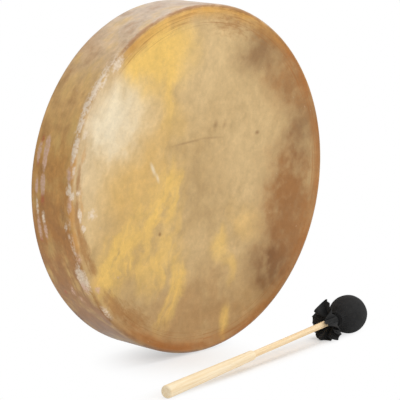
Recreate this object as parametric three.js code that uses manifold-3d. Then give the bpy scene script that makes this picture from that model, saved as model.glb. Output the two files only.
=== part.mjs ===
// A shaman drum and its beater, in millimetres, +Z up.
// The drum stands on its rim with its skin facing -Y, and the origin is where the rim meets the floor.
import * as THREE from "three";
import { mergeVertices } from "three/addons/utils/BufferGeometryUtils.js";
import Module from "manifold-3d";

const wasm = await Module();
wasm.setup();

// Fits
const FIT = 0.3; // between pieces that touch
const TURN_GAP = 0.6; // between neighbouring turns and strands

// Drum: a skin shrunk over a bent hoop
const DRUM_DIAMETER = 400; // over the skin
const DRUM_DEPTH = 68; // over the skin, front to back
const DRUM_SIDES = 48; // facets round the rim, one of them flat on the floor
const SKIN = 1.2;
const FLANGE_WIDTH = 34; // skin turned over the back
const HOOP_THICKNESS = 10;
const HOOP_ROUND = 3.5; // outer edges of the hoop
const HOOP_CHAMFER = 1.5; // inner edges of the hoop

// Scarf joint that closes the hoop, and its nails
const SCARF_LENGTH = 120;
const SCARF_FACET = -2; // facets away from the lowest one
const NAIL_SHANK = 2;
const NAIL_LENGTH = 7;
const NAIL_HEAD = 5;
const NAIL_HEAD_HEIGHT = 1.2;
const NAIL_SPREAD = 30; // between the two nails of a pair, front to back

// Lacing: four arms from a ring to holes in the skin's back edge
const LACE = 2.8;
const ARMS = 4;
const HOLES_PER_ARM = 4;
const HOLE_MARGIN = 7; // from the skin's inner edge to the holes
const HOLE_PLAY = 0.7; // round a lace in its hole
const RING_DIAMETER = 42; // to the middle of the wire
const RING_WIRE = 5;
const RING_PLAY = 1.05; // between the wire and the loops of lace round it
const LOOP_GAP = 0.87; // between neighbouring loops, inside the ring
const BUNDLE_LEAD = 4; // from the ring's outside to where the strands lie together
const TAIL_LENGTH = 30; // of each lace's two ends, under the wrap

// Grip wraps: a leather strip wound round each bundle
const STRIP_WIDTH = 5;
const STRIP_THICKNESS = 1.6;
const WRAP_TURNS = 8;
const WRAP_PLAY = 0.75; // between the bundle and the strip

// Beater: stick, padded ball, gathered cloth
const HANDLE_DIAMETER = 14.6;
const HANDLE_TIP_DIAMETER = 11.2; // at the shoulder, where the shaft comes out
const HANDLE_LENGTH = 157;
const HANDLE_TAPER = 137; // length over which the grip narrows to the shoulder
const HANDLE_ROUND = 2.5; // butt edge
const SHOULDER_ROUND = 1.5;
const SHAFT_DIAMETER = 7.4;
const SHAFT_SEAT = 40; // depth of the shaft in the handle
const SHAFT_PAST_CENTRE = 8; // of the shaft's end beyond the ball's centre
const BALL_DIAMETER = 46; // over the cloth
const BALL_REACH = 350.5; // butt end to ball centre
const CLOTH = 1.5;
const PAD_GAP = 0.7; // between the cloth and the pad
const NECK_DIAMETER = 15.5; // over the gathered cloth, under the tie
const NECK_BACK = 24; // ball centre to the neck's near end
const NECK_LENGTH = 8;
const FRILL_LENGTH = 9; // along the stick
const FRILL_DIAMETER = 50;
const FRILL_PLEATS = 12;
const PLEAT_DEPTH = 3;
const PLEAT_BEND = 0.8; // least radius of a pleat's fold
const FOLD_TURN = THREE.MathUtils.degToRad(150); // from the drum's side to where the frill lies along the stick
const FOLD_REACH = 16.5; // by which the frill is longer there
const FOLD_DIAMETER = 14.5; // of the frill's edge there
const TIE = 1.4;
const TIE_TURNS = 3;

// Beater's place on the floor, butt end
const BUTT_LEFT = 166.4; // of the drum's middle
const BUTT_AHEAD = 111.3; // of the skin
const BEATER_YAW = THREE.MathUtils.degToRad(8.16);
const FLOOR_GAP = 0.1;

const drumRadius = DRUM_DIAMETER / 2;
const halfDepth = DRUM_DEPTH / 2;

// Geometry helpers

function arc(x, y, radius, from, to, steps) {
  const points = [];
  for (let i = 0; i <= steps; i++) {
    const a = THREE.MathUtils.degToRad(from + ((to - from) * i) / steps);
    points.push(new THREE.Vector2(x + radius * Math.cos(a), y + radius * Math.sin(a)));
  }
  return points;
}

const at = (radius, height) => new THREE.Vector2(radius, height);

// A turned solid about +Z. Its flats, not its corners, lie at the profile's radii.
function turned(profile, sides) {
  const widen = 1 / Math.cos(Math.PI / sides);
  const points = profile.map((p) => at(p.x * widen, p.y));
  return new THREE.LatheGeometry(points, sides, Math.PI / sides).rotateX(Math.PI / 2);
}

// A turned solid about +X
function turnedAlongX(profile, sides) {
  return new THREE.LatheGeometry(profile, sides).rotateZ(-Math.PI / 2);
}

function closedLoop(points) {
  return [...points, points[0].clone()];
}

function toSolid(geometry) {
  const bare = geometry.clone();
  bare.deleteAttribute("normal");
  bare.deleteAttribute("uv");
  const merged = mergeVertices(bare, 1e-4);
  const triangles = [];
  for (let i = 0; i < merged.index.count; i += 3) {
    const [a, b, c] = [0, 1, 2].map((k) => merged.index.getX(i + k));
    if (a !== b && b !== c && a !== c) triangles.push(a, b, c);
  }
  return new wasm.Manifold(
    new wasm.Mesh({
      numProp: 3,
      vertProperties: new Float32Array(merged.attributes.position.array),
      triVerts: new Uint32Array(triangles),
    }),
  );
}

function cut(geometry, cutters) {
  let solid = toSolid(geometry);
  for (const cutter of cutters) solid = solid.subtract(toSolid(cutter));
  const mesh = solid.getMesh();
  return new THREE.BufferGeometry()
    .setAttribute("position", new THREE.BufferAttribute(mesh.vertProperties, 3))
    .setIndex(new THREE.BufferAttribute(mesh.triVerts, 1));
}

function bufferGeometry(points, index) {
  return new THREE.BufferGeometry().setFromPoints(points).setIndex(index);
}

// Joins rings of points, each counterclockwise about the path, into one capped tube.
function loft(rings) {
  const sides = rings[0].length;
  const last = (rings.length - 1) * sides;
  const index = [];
  for (let i = 0; i < last; i += sides) {
    for (let j = 0; j < sides; j++) {
      const a = i + j;
      const b = i + ((j + 1) % sides);
      index.push(a, b, b + sides, a, b + sides, a + sides);
    }
  }
  for (let j = 1; j + 1 < sides; j++) {
    index.push(0, j + 1, j, last, last + j, last + j + 1);
  }
  return bufferGeometry(rings.flat(), index);
}

// A round cord along a path, its section carried along without twisting
function cord(path, diameter, sides) {
  const tangents = path.map((_, i) => {
    const before = path[Math.max(i - 1, 0)];
    const after = path[Math.min(i + 1, path.length - 1)];
    return after.clone().sub(before).normalize();
  });
  const normal = new THREE.Vector3(0, 0, 1).cross(tangents[0]).normalize();
  const rings = path.map((p, i) => {
    if (i > 0) {
      normal.applyQuaternion(new THREE.Quaternion().setFromUnitVectors(tangents[i - 1], tangents[i]));
    }
    const binormal = tangents[i].clone().cross(normal);
    return Array.from({ length: sides }, (_, j) => {
      const a = (2 * Math.PI * j) / sides;
      return p
        .clone()
        .addScaledVector(normal, (diameter / 2) * Math.cos(a))
        .addScaledVector(binormal, (diameter / 2) * Math.sin(a));
    });
  });
  return loft(rings);
}

// Least distance between points that are more than half a turn apart along a winding
function leastDistance(rings, stepsPerTurn) {
  let least = Infinity;
  rings.forEach((ring, i) => {
    for (let k = i + Math.ceil(stepsPerTurn / 2) + 1; k < rings.length; k++) {
      for (const p of ring) {
        for (const q of rings[k]) least = Math.min(least, p.distanceTo(q));
      }
    }
  });
  return least;
}

function piece(name, geometry, material) {
  const mesh = new THREE.Mesh(geometry, material);
  mesh.name = name;
  return mesh;
}

function finish(color, roughness, metalness = 0) {
  return new THREE.MeshStandardMaterial({ color, roughness, metalness });
}

const rawhide = finish("#c89a5c", 0.5);
const bentWood = finish("#b98a55", 0.7);
const rawhideLace = finish("#d8b987", 0.6);
const steel = finish("#a9aaac", 0.35, 1);
const gripLeather = finish("#5b3a22", 0.75);
const brass = finish("#b58b3c", 0.4, 1);
const paleWood = finish("#ecd3a0", 0.55);
const feltPad = finish("#c9c2b4", 0.95);
const blackCloth = finish("#242424", 0.95);
const tieCord = finish("#1c1c1c", 0.9);

// The drum's own frame: +Z out of the skin, +Y up, and its middle at the origin
const drum = new THREE.Group();
drum.rotation.x = Math.PI / 2;
drum.position.z = drumRadius;

// Skin: flat front, sides, and a flange turned over the back with a ring of lace holes
const lacePlane = -(halfDepth - SKIN / 2);
const flangeRadius = drumRadius - FLANGE_WIDTH;
const holeCircle = flangeRadius + HOLE_MARGIN;
const holePitch = (2 * Math.PI) / (ARMS * HOLES_PER_ARM);

function drumHead() {
  const ROUND_STEPS = 3;
  const HOLE_SIDES = 8;
  const inside = HOOP_ROUND + FIT;
  const outside = inside + SKIN;
  const cornerRadius = drumRadius - outside;
  const cornerHeight = halfDepth - outside;
  const profile = [
    at(0, halfDepth - SKIN),
    ...arc(cornerRadius, cornerHeight, inside, 90, 0, ROUND_STEPS),
    ...arc(cornerRadius, -cornerHeight, inside, 0, -90, ROUND_STEPS),
    at(flangeRadius, SKIN - halfDepth),
    at(flangeRadius, -halfDepth),
    ...arc(cornerRadius, -cornerHeight, outside, -90, 0, ROUND_STEPS),
    ...arc(cornerRadius, cornerHeight, outside, 0, 90, ROUND_STEPS),
    at(0, halfDepth),
  ];
  const holeRadius = LACE / 2 + HOLE_PLAY;
  const punch = 4 * SKIN; // long enough to pass the skin on both sides
  const holes = Array.from({ length: ARMS * HOLES_PER_ARM }, (_, k) => {
    const a = (k + 0.5) * holePitch;
    return new THREE.CylinderGeometry(holeRadius, holeRadius, punch, HOLE_SIDES)
      .rotateX(Math.PI / 2)
      .translate(holeCircle * Math.cos(a), holeCircle * Math.sin(a), lacePlane);
  });
  return cut(turned(profile, DRUM_SIDES), holes);
}

drum.add(piece("drum_head", drumHead(), rawhide));

// Hoop: one board bent round, its two tapered ends lapped in a scarf joint and nailed
const hoopOuter = drumRadius - SKIN - FIT;
const hoopInner = hoopOuter - HOOP_THICKNESS;
const hoopHalf = halfDepth - SKIN - FIT;
const facetAngle = (2 * Math.PI) / DRUM_SIDES;
const facetDirection = (facet) => facet * facetAngle - Math.PI / 2;
const nailDepth = hoopInner + NAIL_LENGTH;
const nailPlaces = [SCARF_FACET - 1, SCARF_FACET + 1].flatMap((facet) =>
  [-1, 1].map((side) => ({ angle: facetDirection(facet), z: (side * NAIL_SPREAD) / 2 })),
);

// The saw cut of the scarf joint, a thin band that runs from inside the hoop to outside it
function scarfCut() {
  const STEPS = 10;
  const PAST = 0.15; // share of the length by which the band runs past the board's two faces
  const span = SCARF_LENGTH / hoopOuter;
  const edge = (offset) =>
    Array.from({ length: STEPS + 1 }, (_, i) => {
      const share = (i / STEPS) * (1 + 2 * PAST) - PAST;
      const a = facetDirection(SCARF_FACET) + (share - 0.5) * span;
      const r = hoopInner + share * HOOP_THICKNESS + offset;
      return at(r * Math.cos(a), r * Math.sin(a));
    });
  const outline = new THREE.Shape([...edge(FIT / 2), ...edge(-FIT / 2).reverse()]);
  const depth = 2 * hoopHalf + 2 * SKIN;
  return new THREE.ExtrudeGeometry(outline, { depth, bevelEnabled: false }).translate(0, 0, -depth / 2);
}

function nailBore({ angle, z }) {
  const BORE_SIDES = 8;
  const radius = NAIL_SHANK / 2 + FIT;
  const from = hoopInner - NAIL_HEAD;
  const length = nailDepth + FIT - from;
  return new THREE.CylinderGeometry(radius, radius, length, BORE_SIDES)
    .rotateZ(-Math.PI / 2)
    .translate(from + length / 2, 0, z)
    .rotateZ(angle);
}

function hoop() {
  const ROUND_STEPS = 3;
  const profile = closedLoop([
    ...arc(hoopOuter - HOOP_ROUND, HOOP_ROUND - hoopHalf, HOOP_ROUND, -90, 0, ROUND_STEPS),
    ...arc(hoopOuter - HOOP_ROUND, hoopHalf - HOOP_ROUND, HOOP_ROUND, 0, 90, ROUND_STEPS),
    at(hoopInner + HOOP_CHAMFER, hoopHalf),
    at(hoopInner, hoopHalf - HOOP_CHAMFER),
    at(hoopInner, HOOP_CHAMFER - hoopHalf),
    at(hoopInner + HOOP_CHAMFER, -hoopHalf),
  ]);
  return cut(turned(profile, DRUM_SIDES), [scarfCut(), ...nailPlaces.map(nailBore)]);
}

drum.add(piece("hoop", hoop(), bentWood));

// Nail along +X: its domed head lies against the hoop's inner face
function nail() {
  const SIDES = 10;
  const DOME_STEPS = 3;
  const underHead = hoopInner - FIT;
  const top = underHead - NAIL_HEAD_HEIGHT;
  const head = NAIL_HEAD / 2;
  const dome = (head ** 2 + NAIL_HEAD_HEIGHT ** 2) / (2 * NAIL_HEAD_HEIGHT);
  const spread = THREE.MathUtils.radToDeg(Math.asin(head / dome));
  return turnedAlongX(
    [
      at(0, top),
      ...arc(0, top + dome, dome, -90, spread - 90, DOME_STEPS).slice(1),
      at(NAIL_SHANK / 2, underHead),
      at(NAIL_SHANK / 2, nailDepth - NAIL_SHANK),
      at(0, nailDepth),
    ],
    SIDES,
  );
}

nailPlaces.forEach(({ angle, z }, i) => {
  const mesh = piece(`scarf_nail_${i + 1}`, nail(), brass);
  mesh.rotation.z = angle;
  mesh.position.z = z;
  drum.add(mesh);
});

// Ring at the middle of the back, in the plane of the flange
const ringRadius = RING_DIAMETER / 2;

function centreRing() {
  const WIRE_SIDES = 10;
  const RING_SIDES = 28;
  return new THREE.TorusGeometry(ringRadius, RING_WIRE / 2, WIRE_SIDES, RING_SIDES).translate(0, 0, lacePlane);
}

drum.add(piece("centre_ring", centreRing(), steel));

// One lace, laid out for the arm along +X. It goes back and forth between the ring and its holes,
// out on the skin's side of the bundle and home on the open side, and both its tails end under the wrap.
const strandPitch = LACE + TURN_GAP;
const strands = HOLES_PER_ARM + 2; // one for each hole and one for each tail
const strandSide = (slot) => (slot - (strands - 1) / 2) * strandPitch;
const layer = strandPitch / 2;
const bundleStart = ringRadius + RING_WIRE / 2 + LACE + BUNDLE_LEAD;
const wrapStart = bundleStart + STRIP_WIDTH / 2;
const wrapPitch = STRIP_WIDTH + TURN_GAP;
const wrapEnd = wrapStart + WRAP_TURNS * wrapPitch;
const bundleEnd = wrapEnd + STRIP_WIDTH / 2 + LACE;

// Depth is counted from the lacing plane towards the open back.
const armPoint = (along, side, depth) => new THREE.Vector3(along, side, lacePlane - depth);

// Half a turn round the ring, from one strand's open side to the next one's skin side
function roundRing(slot) {
  const STEPS = 5;
  const loop = RING_WIRE / 2 + RING_PLAY + LACE / 2;
  const spread = (LACE + LOOP_GAP) / (ringRadius - loop);
  return Array.from({ length: STEPS + 1 }, (_, i) => {
    const turn = (Math.PI * i) / STEPS;
    const a = (slot + i / STEPS - (strands - 1) / 2) * spread;
    const r = ringRadius - loop * Math.sin(turn);
    return armPoint(r * Math.cos(a), r * Math.sin(a), loop * Math.cos(turn));
  });
}

// Half a turn through a hole, from the skin's side to the open side
function throughHole(hole) {
  const STEPS = 5;
  const loop = SKIN / 2 + FIT + LACE / 2;
  const a = (hole - (HOLES_PER_ARM - 1) / 2) * holePitch;
  const x = holeCircle * Math.cos(a);
  const y = holeCircle * Math.sin(a);
  const heading = Math.atan2(y - strandSide(hole + 1), x - bundleEnd);
  return Array.from({ length: STEPS + 1 }, (_, i) => {
    const turn = (Math.PI * i) / STEPS;
    const past = loop * (Math.sin(turn) - 1);
    return armPoint(x + past * Math.cos(heading), y + past * Math.sin(heading), -loop * Math.cos(turn));
  });
}

function lacePath() {
  const tailEnd = bundleStart + TAIL_LENGTH;
  const path = [armPoint(tailEnd, strandSide(0), layer), armPoint(bundleStart, strandSide(0), layer)];
  for (let hole = 0; hole < HOLES_PER_ARM; hole++) {
    const side = strandSide(hole + 1);
    path.push(
      ...roundRing(hole),
      armPoint(bundleStart, side, -layer),
      armPoint(bundleEnd, side, -layer),
      ...throughHole(hole),
      armPoint(bundleEnd, side, layer),
      armPoint(bundleStart, side, layer),
    );
  }
  const side = strandSide(strands - 1);
  path.push(...roundRing(HOLES_PER_ARM), armPoint(bundleStart, side, -layer), armPoint(tailEnd, side, -layer));
  return path;
}

// Grip wrap for the arm along +X: a flat strip wound in a screw round the bundle
const STRIP_STEPS = 12; // to a turn, half of them round each end of the oval

function wrapRings() {
  const bundleRound = layer + LACE / 2 + WRAP_PLAY + STRIP_THICKNESS / 2; // middle of the strip
  const bundleFlat = strandSide(strands - 1) - LACE / 2 + FIT;
  const half = STRIP_STEPS / 2;
  const along = new THREE.Vector3(-1, 0, 0);
  return Array.from({ length: WRAP_TURNS * STRIP_STEPS + 1 }, (_, i) => {
    const step = i % STRIP_STEPS;
    const end = step < half ? 1 : -1;
    const a = ((step % half) / (half - 1) - 0.5) * Math.PI;
    const out = new THREE.Vector3(0, end * Math.cos(a), end * Math.sin(a));
    const middle = armPoint(wrapStart + (i / STRIP_STEPS) * wrapPitch, end * bundleFlat, 0);
    middle.addScaledVector(out, bundleRound);
    return [
      [1, 1],
      [-1, 1],
      [-1, -1],
      [1, -1],
    ].map(([o, l]) =>
      middle
        .clone()
        .addScaledVector(out, (o * STRIP_THICKNESS) / 2)
        .addScaledVector(along, (l * STRIP_WIDTH) / 2),
    );
  });
}

const LACE_SIDES = 5;
const laceRoute = lacePath();
const stripRings = wrapRings();
["right", "top", "left", "bottom"].forEach((name, arm) => {
  const lace = piece(`lace_${name}`, cord(laceRoute, LACE, LACE_SIDES), rawhideLace);
  const wrap = piece(`grip_wrap_${name}`, loft(stripRings), gripLeather);
  lace.rotation.z = (arm * 2 * Math.PI) / ARMS;
  wrap.rotation.z = lace.rotation.z;
  drum.add(lace, wrap);
});
console.log("grip wrap, least gap to itself:", leastDistance(stripRings, STRIP_STEPS).toFixed(2), "mm");

// The beater's own frame: +X from the butt end to the ball, lying on the floor on its butt and its ball
const handleRadius = HANDLE_DIAMETER / 2;
const shaftRadius = SHAFT_DIAMETER / 2;
const ballRadius = BALL_DIAMETER / 2;
const beaterRise = Math.asin((ballRadius - handleRadius) / BALL_REACH);
const buttHeight = handleRadius + FLOOR_GAP;
const beater = new THREE.Group();
beater.rotation.set(0, -beaterRise, BEATER_YAW, "ZYX");
beater.position.set(-BUTT_LEFT, -halfDepth - BUTT_AHEAD, buttHeight);

const boreRadius = shaftRadius + FIT;
const shaftStart = HANDLE_LENGTH - SHAFT_SEAT;
const shaftEnd = BALL_REACH + SHAFT_PAST_CENTRE;

function beaterHandle() {
  const SIDES = 24;
  const ROUND_STEPS = 3;
  const butt = handleRadius - HANDLE_ROUND;
  const shoulder = HANDLE_TIP_DIAMETER / 2 - SHOULDER_ROUND;
  return turnedAlongX(
    [
      at(0, 0),
      ...arc(butt, HANDLE_ROUND, HANDLE_ROUND, -90, 0, ROUND_STEPS),
      at(handleRadius, HANDLE_LENGTH - HANDLE_TAPER),
      ...arc(shoulder, HANDLE_LENGTH - SHOULDER_ROUND, SHOULDER_ROUND, 0, 90, ROUND_STEPS),
      at(boreRadius, HANDLE_LENGTH),
      at(boreRadius, shaftStart - FIT),
      at(0, shaftStart - FIT),
    ],
    SIDES,
  );
}

function beaterShaft() {
  const SIDES = 20;
  return turnedAlongX(
    [at(0, shaftStart), at(shaftRadius, shaftStart), at(shaftRadius, shaftEnd), at(0, shaftEnd)],
    SIDES,
  );
}

// Pad: a ball with a blind bore for the shaft's end
function beaterCore() {
  const SIDES = 24;
  const ROUND_STEPS = 10;
  const radius = ballRadius - CLOTH - PAD_GAP;
  const mouth = THREE.MathUtils.radToDeg(Math.acos(boreRadius / radius));
  return turnedAlongX(
    [
      at(0, shaftEnd + FIT),
      at(boreRadius, shaftEnd + FIT),
      ...arc(0, BALL_REACH, radius, -mouth, 90, ROUND_STEPS).slice(0, -1),
      at(0, BALL_REACH + radius),
    ],
    SIDES,
  );
}

// Middle line of the cloth from the ball's far side to the frill's edge, with each row's share of the frill
const neckStart = BALL_REACH - NECK_BACK;
const neckEnd = neckStart - NECK_LENGTH;
const neckMiddle = (NECK_DIAMETER - CLOTH) / 2;

function clothProfile() {
  const BALL_ROWS = 7;
  const BALL_SWEEP = THREE.MathUtils.degToRad(138);
  const FRILL_ROWS = 4;
  const FLARE = THREE.MathUtils.degToRad(80);
  const radius = ballRadius - CLOTH / 2;
  const rows = [];
  for (let i = 1; i <= BALL_ROWS; i++) {
    const a = (BALL_SWEEP * i) / BALL_ROWS;
    rows.push({ x: BALL_REACH + radius * Math.cos(a), r: radius * Math.sin(a), share: 0 });
  }
  rows.push({ x: neckStart, r: neckMiddle, share: 0 });
  for (let i = 0; i <= FRILL_ROWS; i++) {
    const share = i / FRILL_ROWS;
    const flare = (1 - Math.cos(share * FLARE)) / (1 - Math.cos(FLARE));
    const reach = Math.sin(share * FLARE) / Math.sin(FLARE);
    rows.push({
      x: neckEnd - FRILL_LENGTH * reach,
      r: neckMiddle + (FRILL_DIAMETER / 2 - neckMiddle) * flare,
      share,
    });
  }
  return rows;
}

// Where a row lies at one angle round the stick, before pleating. On one side the frill lies along the stick.
function clothPlace(row, angle) {
  const FOLD_NARROW = 4; // the higher, the narrower that side
  if (row.share === 0) return row;
  const folded = ((1 + Math.cos(angle - FOLD_TURN)) / 2) ** FOLD_NARROW;
  const close = neckMiddle + (FOLD_DIAMETER / 2 - neckMiddle) * row.share;
  return { x: row.x - FOLD_REACH * row.share * folded, r: row.r + (close - row.r) * folded };
}

// Middle surface of the cloth, row by row. The frill is wavy, and its lower side is pressed on the floor.
const CLOTH_SIDES = 4 * FRILL_PLEATS;

function clothGrid() {
  const PRESSED_FROM = 0.7; // share of the axis height where the floor begins to press
  const rows = clothProfile();
  const widest = FRILL_DIAMETER / 2 + PLEAT_DEPTH;
  return rows.map((row, i) => {
    const floor = buttHeight + row.x * Math.sin(beaterRise) - CLOTH / 2 - FIT;
    const pressed = PRESSED_FROM * floor;
    return Array.from({ length: CLOTH_SIDES }, (_, j) => {
      const a = (2 * Math.PI * j) / CLOTH_SIDES;
      const here = clothPlace(row, a);
      const before = clothPlace(rows[Math.max(i - 1, 0)], a);
      const after = clothPlace(rows[Math.min(i + 1, rows.length - 1)], a);
      const across = at(after.r - before.r, before.x - after.x).normalize();
      const deepest = here.r ** 2 / (FRILL_PLEATS ** 2 * PLEAT_BEND);
      const wave = Math.min(PLEAT_DEPTH * row.share, deepest) * Math.cos(FRILL_PLEATS * a);
      const r = here.r + wave * across.y;
      const low = -r * Math.sin(a);
      const press = row.share > 0 && low > pressed;
      const z = press ? pressed + ((low - pressed) * (floor - pressed)) / (widest - pressed) : low;
      return new THREE.Vector3(here.x + wave * across.x, r * Math.cos(a), -z);
    });
  });
}

// Cloth: two faces half its thickness from the middle surface, joined at the frill's edge
function beaterCloth() {
  const grid = clothGrid();
  const apex = new THREE.Vector3(BALL_REACH + ballRadius - CLOTH / 2, 0, 0);
  const rowOf = (i) => (i < 0 ? grid[0].map(() => apex) : grid[Math.min(i, grid.length - 1)]);
  const faces = [0.5, -0.5].map((side) => {
    const tip = apex.clone();
    tip.x += side * CLOTH;
    const points = grid.flatMap((row, i) =>
      row.map((p, j) => {
        const along = rowOf(i + 1)[j].clone().sub(rowOf(i - 1)[j]);
        const next = row[(j + 1) % CLOTH_SIDES];
        const last = row[(j + CLOTH_SIDES - 1) % CLOTH_SIDES];
        const out = along.cross(next.clone().sub(last)).normalize();
        return p.clone().addScaledVector(out, side * CLOTH);
      }),
    );
    return [tip, ...points];
  });
  const inner = faces[0].length;
  const index = [];
  const add = (a, b, c) => index.push(a, b, c, inner + a, inner + c, inner + b);
  for (let j = 0; j < CLOTH_SIDES; j++) {
    const k = (j + 1) % CLOTH_SIDES;
    add(0, 1 + j, 1 + k);
    for (let i = 0; i + 1 < grid.length; i++) {
      const near = 1 + i * CLOTH_SIDES;
      const far = near + CLOTH_SIDES;
      add(near + j, far + j, far + k);
      add(near + j, far + k, near + k);
    }
    const edge = 1 + (grid.length - 1) * CLOTH_SIDES;
    index.push(edge + k, edge + j, inner + edge + j, edge + k, inner + edge + j, inner + edge + k);
  }
  return bufferGeometry(faces.flat(), index);
}

// Tie: a cord wound round the neck of the cloth
const TIE_STEPS = 16;

function tiePath() {
  const radius = NECK_DIAMETER / 2 + FIT + TIE / 2;
  const pitch = TIE + TURN_GAP;
  const start = (neckStart + neckEnd - TIE_TURNS * pitch) / 2;
  return Array.from({ length: TIE_TURNS * TIE_STEPS + 1 }, (_, i) => {
    const a = (2 * Math.PI * i) / TIE_STEPS;
    return new THREE.Vector3(start + (pitch * i) / TIE_STEPS, radius * Math.cos(a), radius * Math.sin(a));
  });
}

const TIE_SIDES = 6;
const tieRoute = tiePath();
beater.add(
  piece("beater_handle", beaterHandle(), paleWood),
  piece("beater_shaft", beaterShaft(), paleWood),
  piece("beater_core", beaterCore(), feltPad),
  piece("beater_cloth", beaterCloth(), blackCloth),
  piece("beater_tie", cord(tieRoute, TIE, TIE_SIDES), tieCord),
);
const tieGap = leastDistance(tieRoute.map((p) => [p]), TIE_STEPS) - TIE;
console.log("beater tie, least gap to itself:", tieGap.toFixed(2), "mm");

const shamanDrum = new THREE.Group();
shamanDrum.add(drum, beater);

export default shamanDrum;
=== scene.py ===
import math
from functools import partial

import bmesh
import bpy
from mathutils import Matrix, Vector, noise


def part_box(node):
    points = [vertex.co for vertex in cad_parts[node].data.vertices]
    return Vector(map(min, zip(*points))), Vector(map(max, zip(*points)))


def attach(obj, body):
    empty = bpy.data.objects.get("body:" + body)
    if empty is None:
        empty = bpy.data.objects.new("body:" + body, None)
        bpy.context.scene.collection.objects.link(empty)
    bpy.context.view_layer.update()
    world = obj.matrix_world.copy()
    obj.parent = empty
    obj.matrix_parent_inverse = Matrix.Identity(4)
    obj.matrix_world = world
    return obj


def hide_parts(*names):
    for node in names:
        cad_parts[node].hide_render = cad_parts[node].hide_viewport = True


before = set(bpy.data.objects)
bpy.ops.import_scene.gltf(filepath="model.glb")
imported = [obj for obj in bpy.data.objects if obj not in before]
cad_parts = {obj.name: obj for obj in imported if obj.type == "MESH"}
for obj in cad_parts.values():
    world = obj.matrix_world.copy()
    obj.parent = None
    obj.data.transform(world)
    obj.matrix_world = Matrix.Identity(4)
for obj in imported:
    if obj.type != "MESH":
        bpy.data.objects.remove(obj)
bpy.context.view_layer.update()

# Camera: a long lens at the drum's front left, a little above it and looking slightly down.
# Its place and aim follow the two rims of the drum and the beater's stick as the photograph shows them.
SENSOR = 36.0  # millimetres
LENS = 187.3  # millimetres
CAMERA_PLACE = (-1.6323, -1.6850, 0.6241)  # metres
LOOK_DOWN = math.radians(10.898)
LOOK_RIGHT = math.radians(44.572)

scene = bpy.context.scene
scene.view_settings.view_transform = "Standard"
camera = bpy.data.objects.new("camera", bpy.data.cameras.new("camera"))
camera.data.sensor_width = SENSOR
camera.data.lens = LENS
camera.location = CAMERA_PLACE
camera.rotation_euler = (math.pi / 2 - LOOK_DOWN, 0, -LOOK_RIGHT)
scene.collection.objects.link(camera)
scene.camera = camera


# Studio: white paper under the set, a large soft box overhead and a second one at the front right.
# The paper takes soft shadows near the set and turns plain white farther off, like an overlit sweep.
def linear(code):
    shares = [int(code[i : i + 2], 16) / 255 for i in (1, 3, 5)]
    return tuple(s / 12.92 if s <= 0.04045 else ((s + 0.055) / 1.055) ** 2.4 for s in shares) + (1.0,)


def add_node(tree, kind, settings, inputs):
    added = tree.nodes.new("ShaderNode" + kind)
    for name, value in settings.items():
        setattr(added, name, value)
    for key, value in inputs.items():
        if isinstance(key, int):
            socket = added.inputs[key]
        else:
            socket = next(s for s in added.inputs if s.enabled and s.name == key)
        if isinstance(value, bpy.types.Node):
            value = next(s for s in value.outputs if s.enabled)
        if isinstance(value, bpy.types.NodeSocket):
            tree.links.new(value, socket)
        else:
            socket.default_value = value
    return added


MM = 0.001  # metres
SOFTLY = {"interpolation_type": "SMOOTHSTEP"}
FITTED = {"vector_type": "TEXTURE"}
PAPER_SIZE = 12.0  # metres
PAPER_DROP = 0.2 * MM  # below the lowest solid
SHADOWED = (  # where the paper isn't washed out: middle, half length, half width, turn, least washing out
    (-40, -40, 84, 80, 0, 0.44),
    (15, -108, 210, 24, 8, 0.0),
)
WASHED_OUT = 1.35  # in half lengths and widths from the middle
ROOM_LIGHT = 0.68

paper_mesh = bpy.data.meshes.new("paper")
half_paper = PAPER_SIZE / 2
paper_mesh.from_pydata(
    [(x * half_paper, y * half_paper, -PAPER_DROP) for x, y in ((-1, -1), (1, -1), (1, 1), (-1, 1))],
    [],
    [(0, 1, 2, 3)],
)
paper = bpy.data.objects.new("paper", paper_mesh)
scene.collection.objects.link(paper)

paper_finish = bpy.data.materials.new("white_paper")
room = bpy.data.worlds.new("white_room")
scene.world = room
seen = {}
for user in (paper_finish, room):
    user.use_nodes = True
    user.node_tree.nodes.clear()
    node = partial(add_node, user.node_tree)
    ray = node("LightPath", {}, {})
    seen[user] = ray.outputs["Is Camera Ray"]
    for kind in ("Is Glossy Ray", "Is Transmission Ray"):
        seen[user] = node("Math", {"operation": "MAXIMUM"}, {0: seen[user], 1: ray.outputs[kind]})

node = partial(add_node, paper_finish.node_tree)
place = node("TexCoord", {}, {}).outputs["Object"]
fade = seen[paper_finish]
for x, y, long, wide, turn, least in SHADOWED:
    middle = (x * MM, y * MM, 0)
    way = (0, 0, math.radians(turn))
    size = (long * MM, wide * MM, 1)
    fitted = node("Mapping", FITTED, {"Vector": place, "Location": middle, "Rotation": way, "Scale": size})
    away = node("VectorMath", {"operation": "LENGTH"}, {0: fitted}).outputs["Value"]
    washed = node("MapRange", SOFTLY, {"Value": away, "From Max": WASHED_OUT, "To Min": least})
    fade = node("Math", {"operation": "MINIMUM"}, {0: fade, 1: washed})
lit = node("BsdfDiffuse", {}, {"Color": linear("#f7f7f7")})
white = node("Emission", {}, {"Strength": 1.0})
blank = node("MixShader", {}, {0: fade, 1: lit, 2: white})
node("OutputMaterial", {}, {"Surface": blank})
paper.data.materials.append(paper_finish)

node = partial(add_node, room.node_tree)
strength = node("MapRange", {}, {"Value": seen[room], "To Min": ROOM_LIGHT, "To Max": 1.0})
glow = node("Background", {}, {"Strength": strength})
node("OutputWorld", {}, {"Surface": glow})

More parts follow.
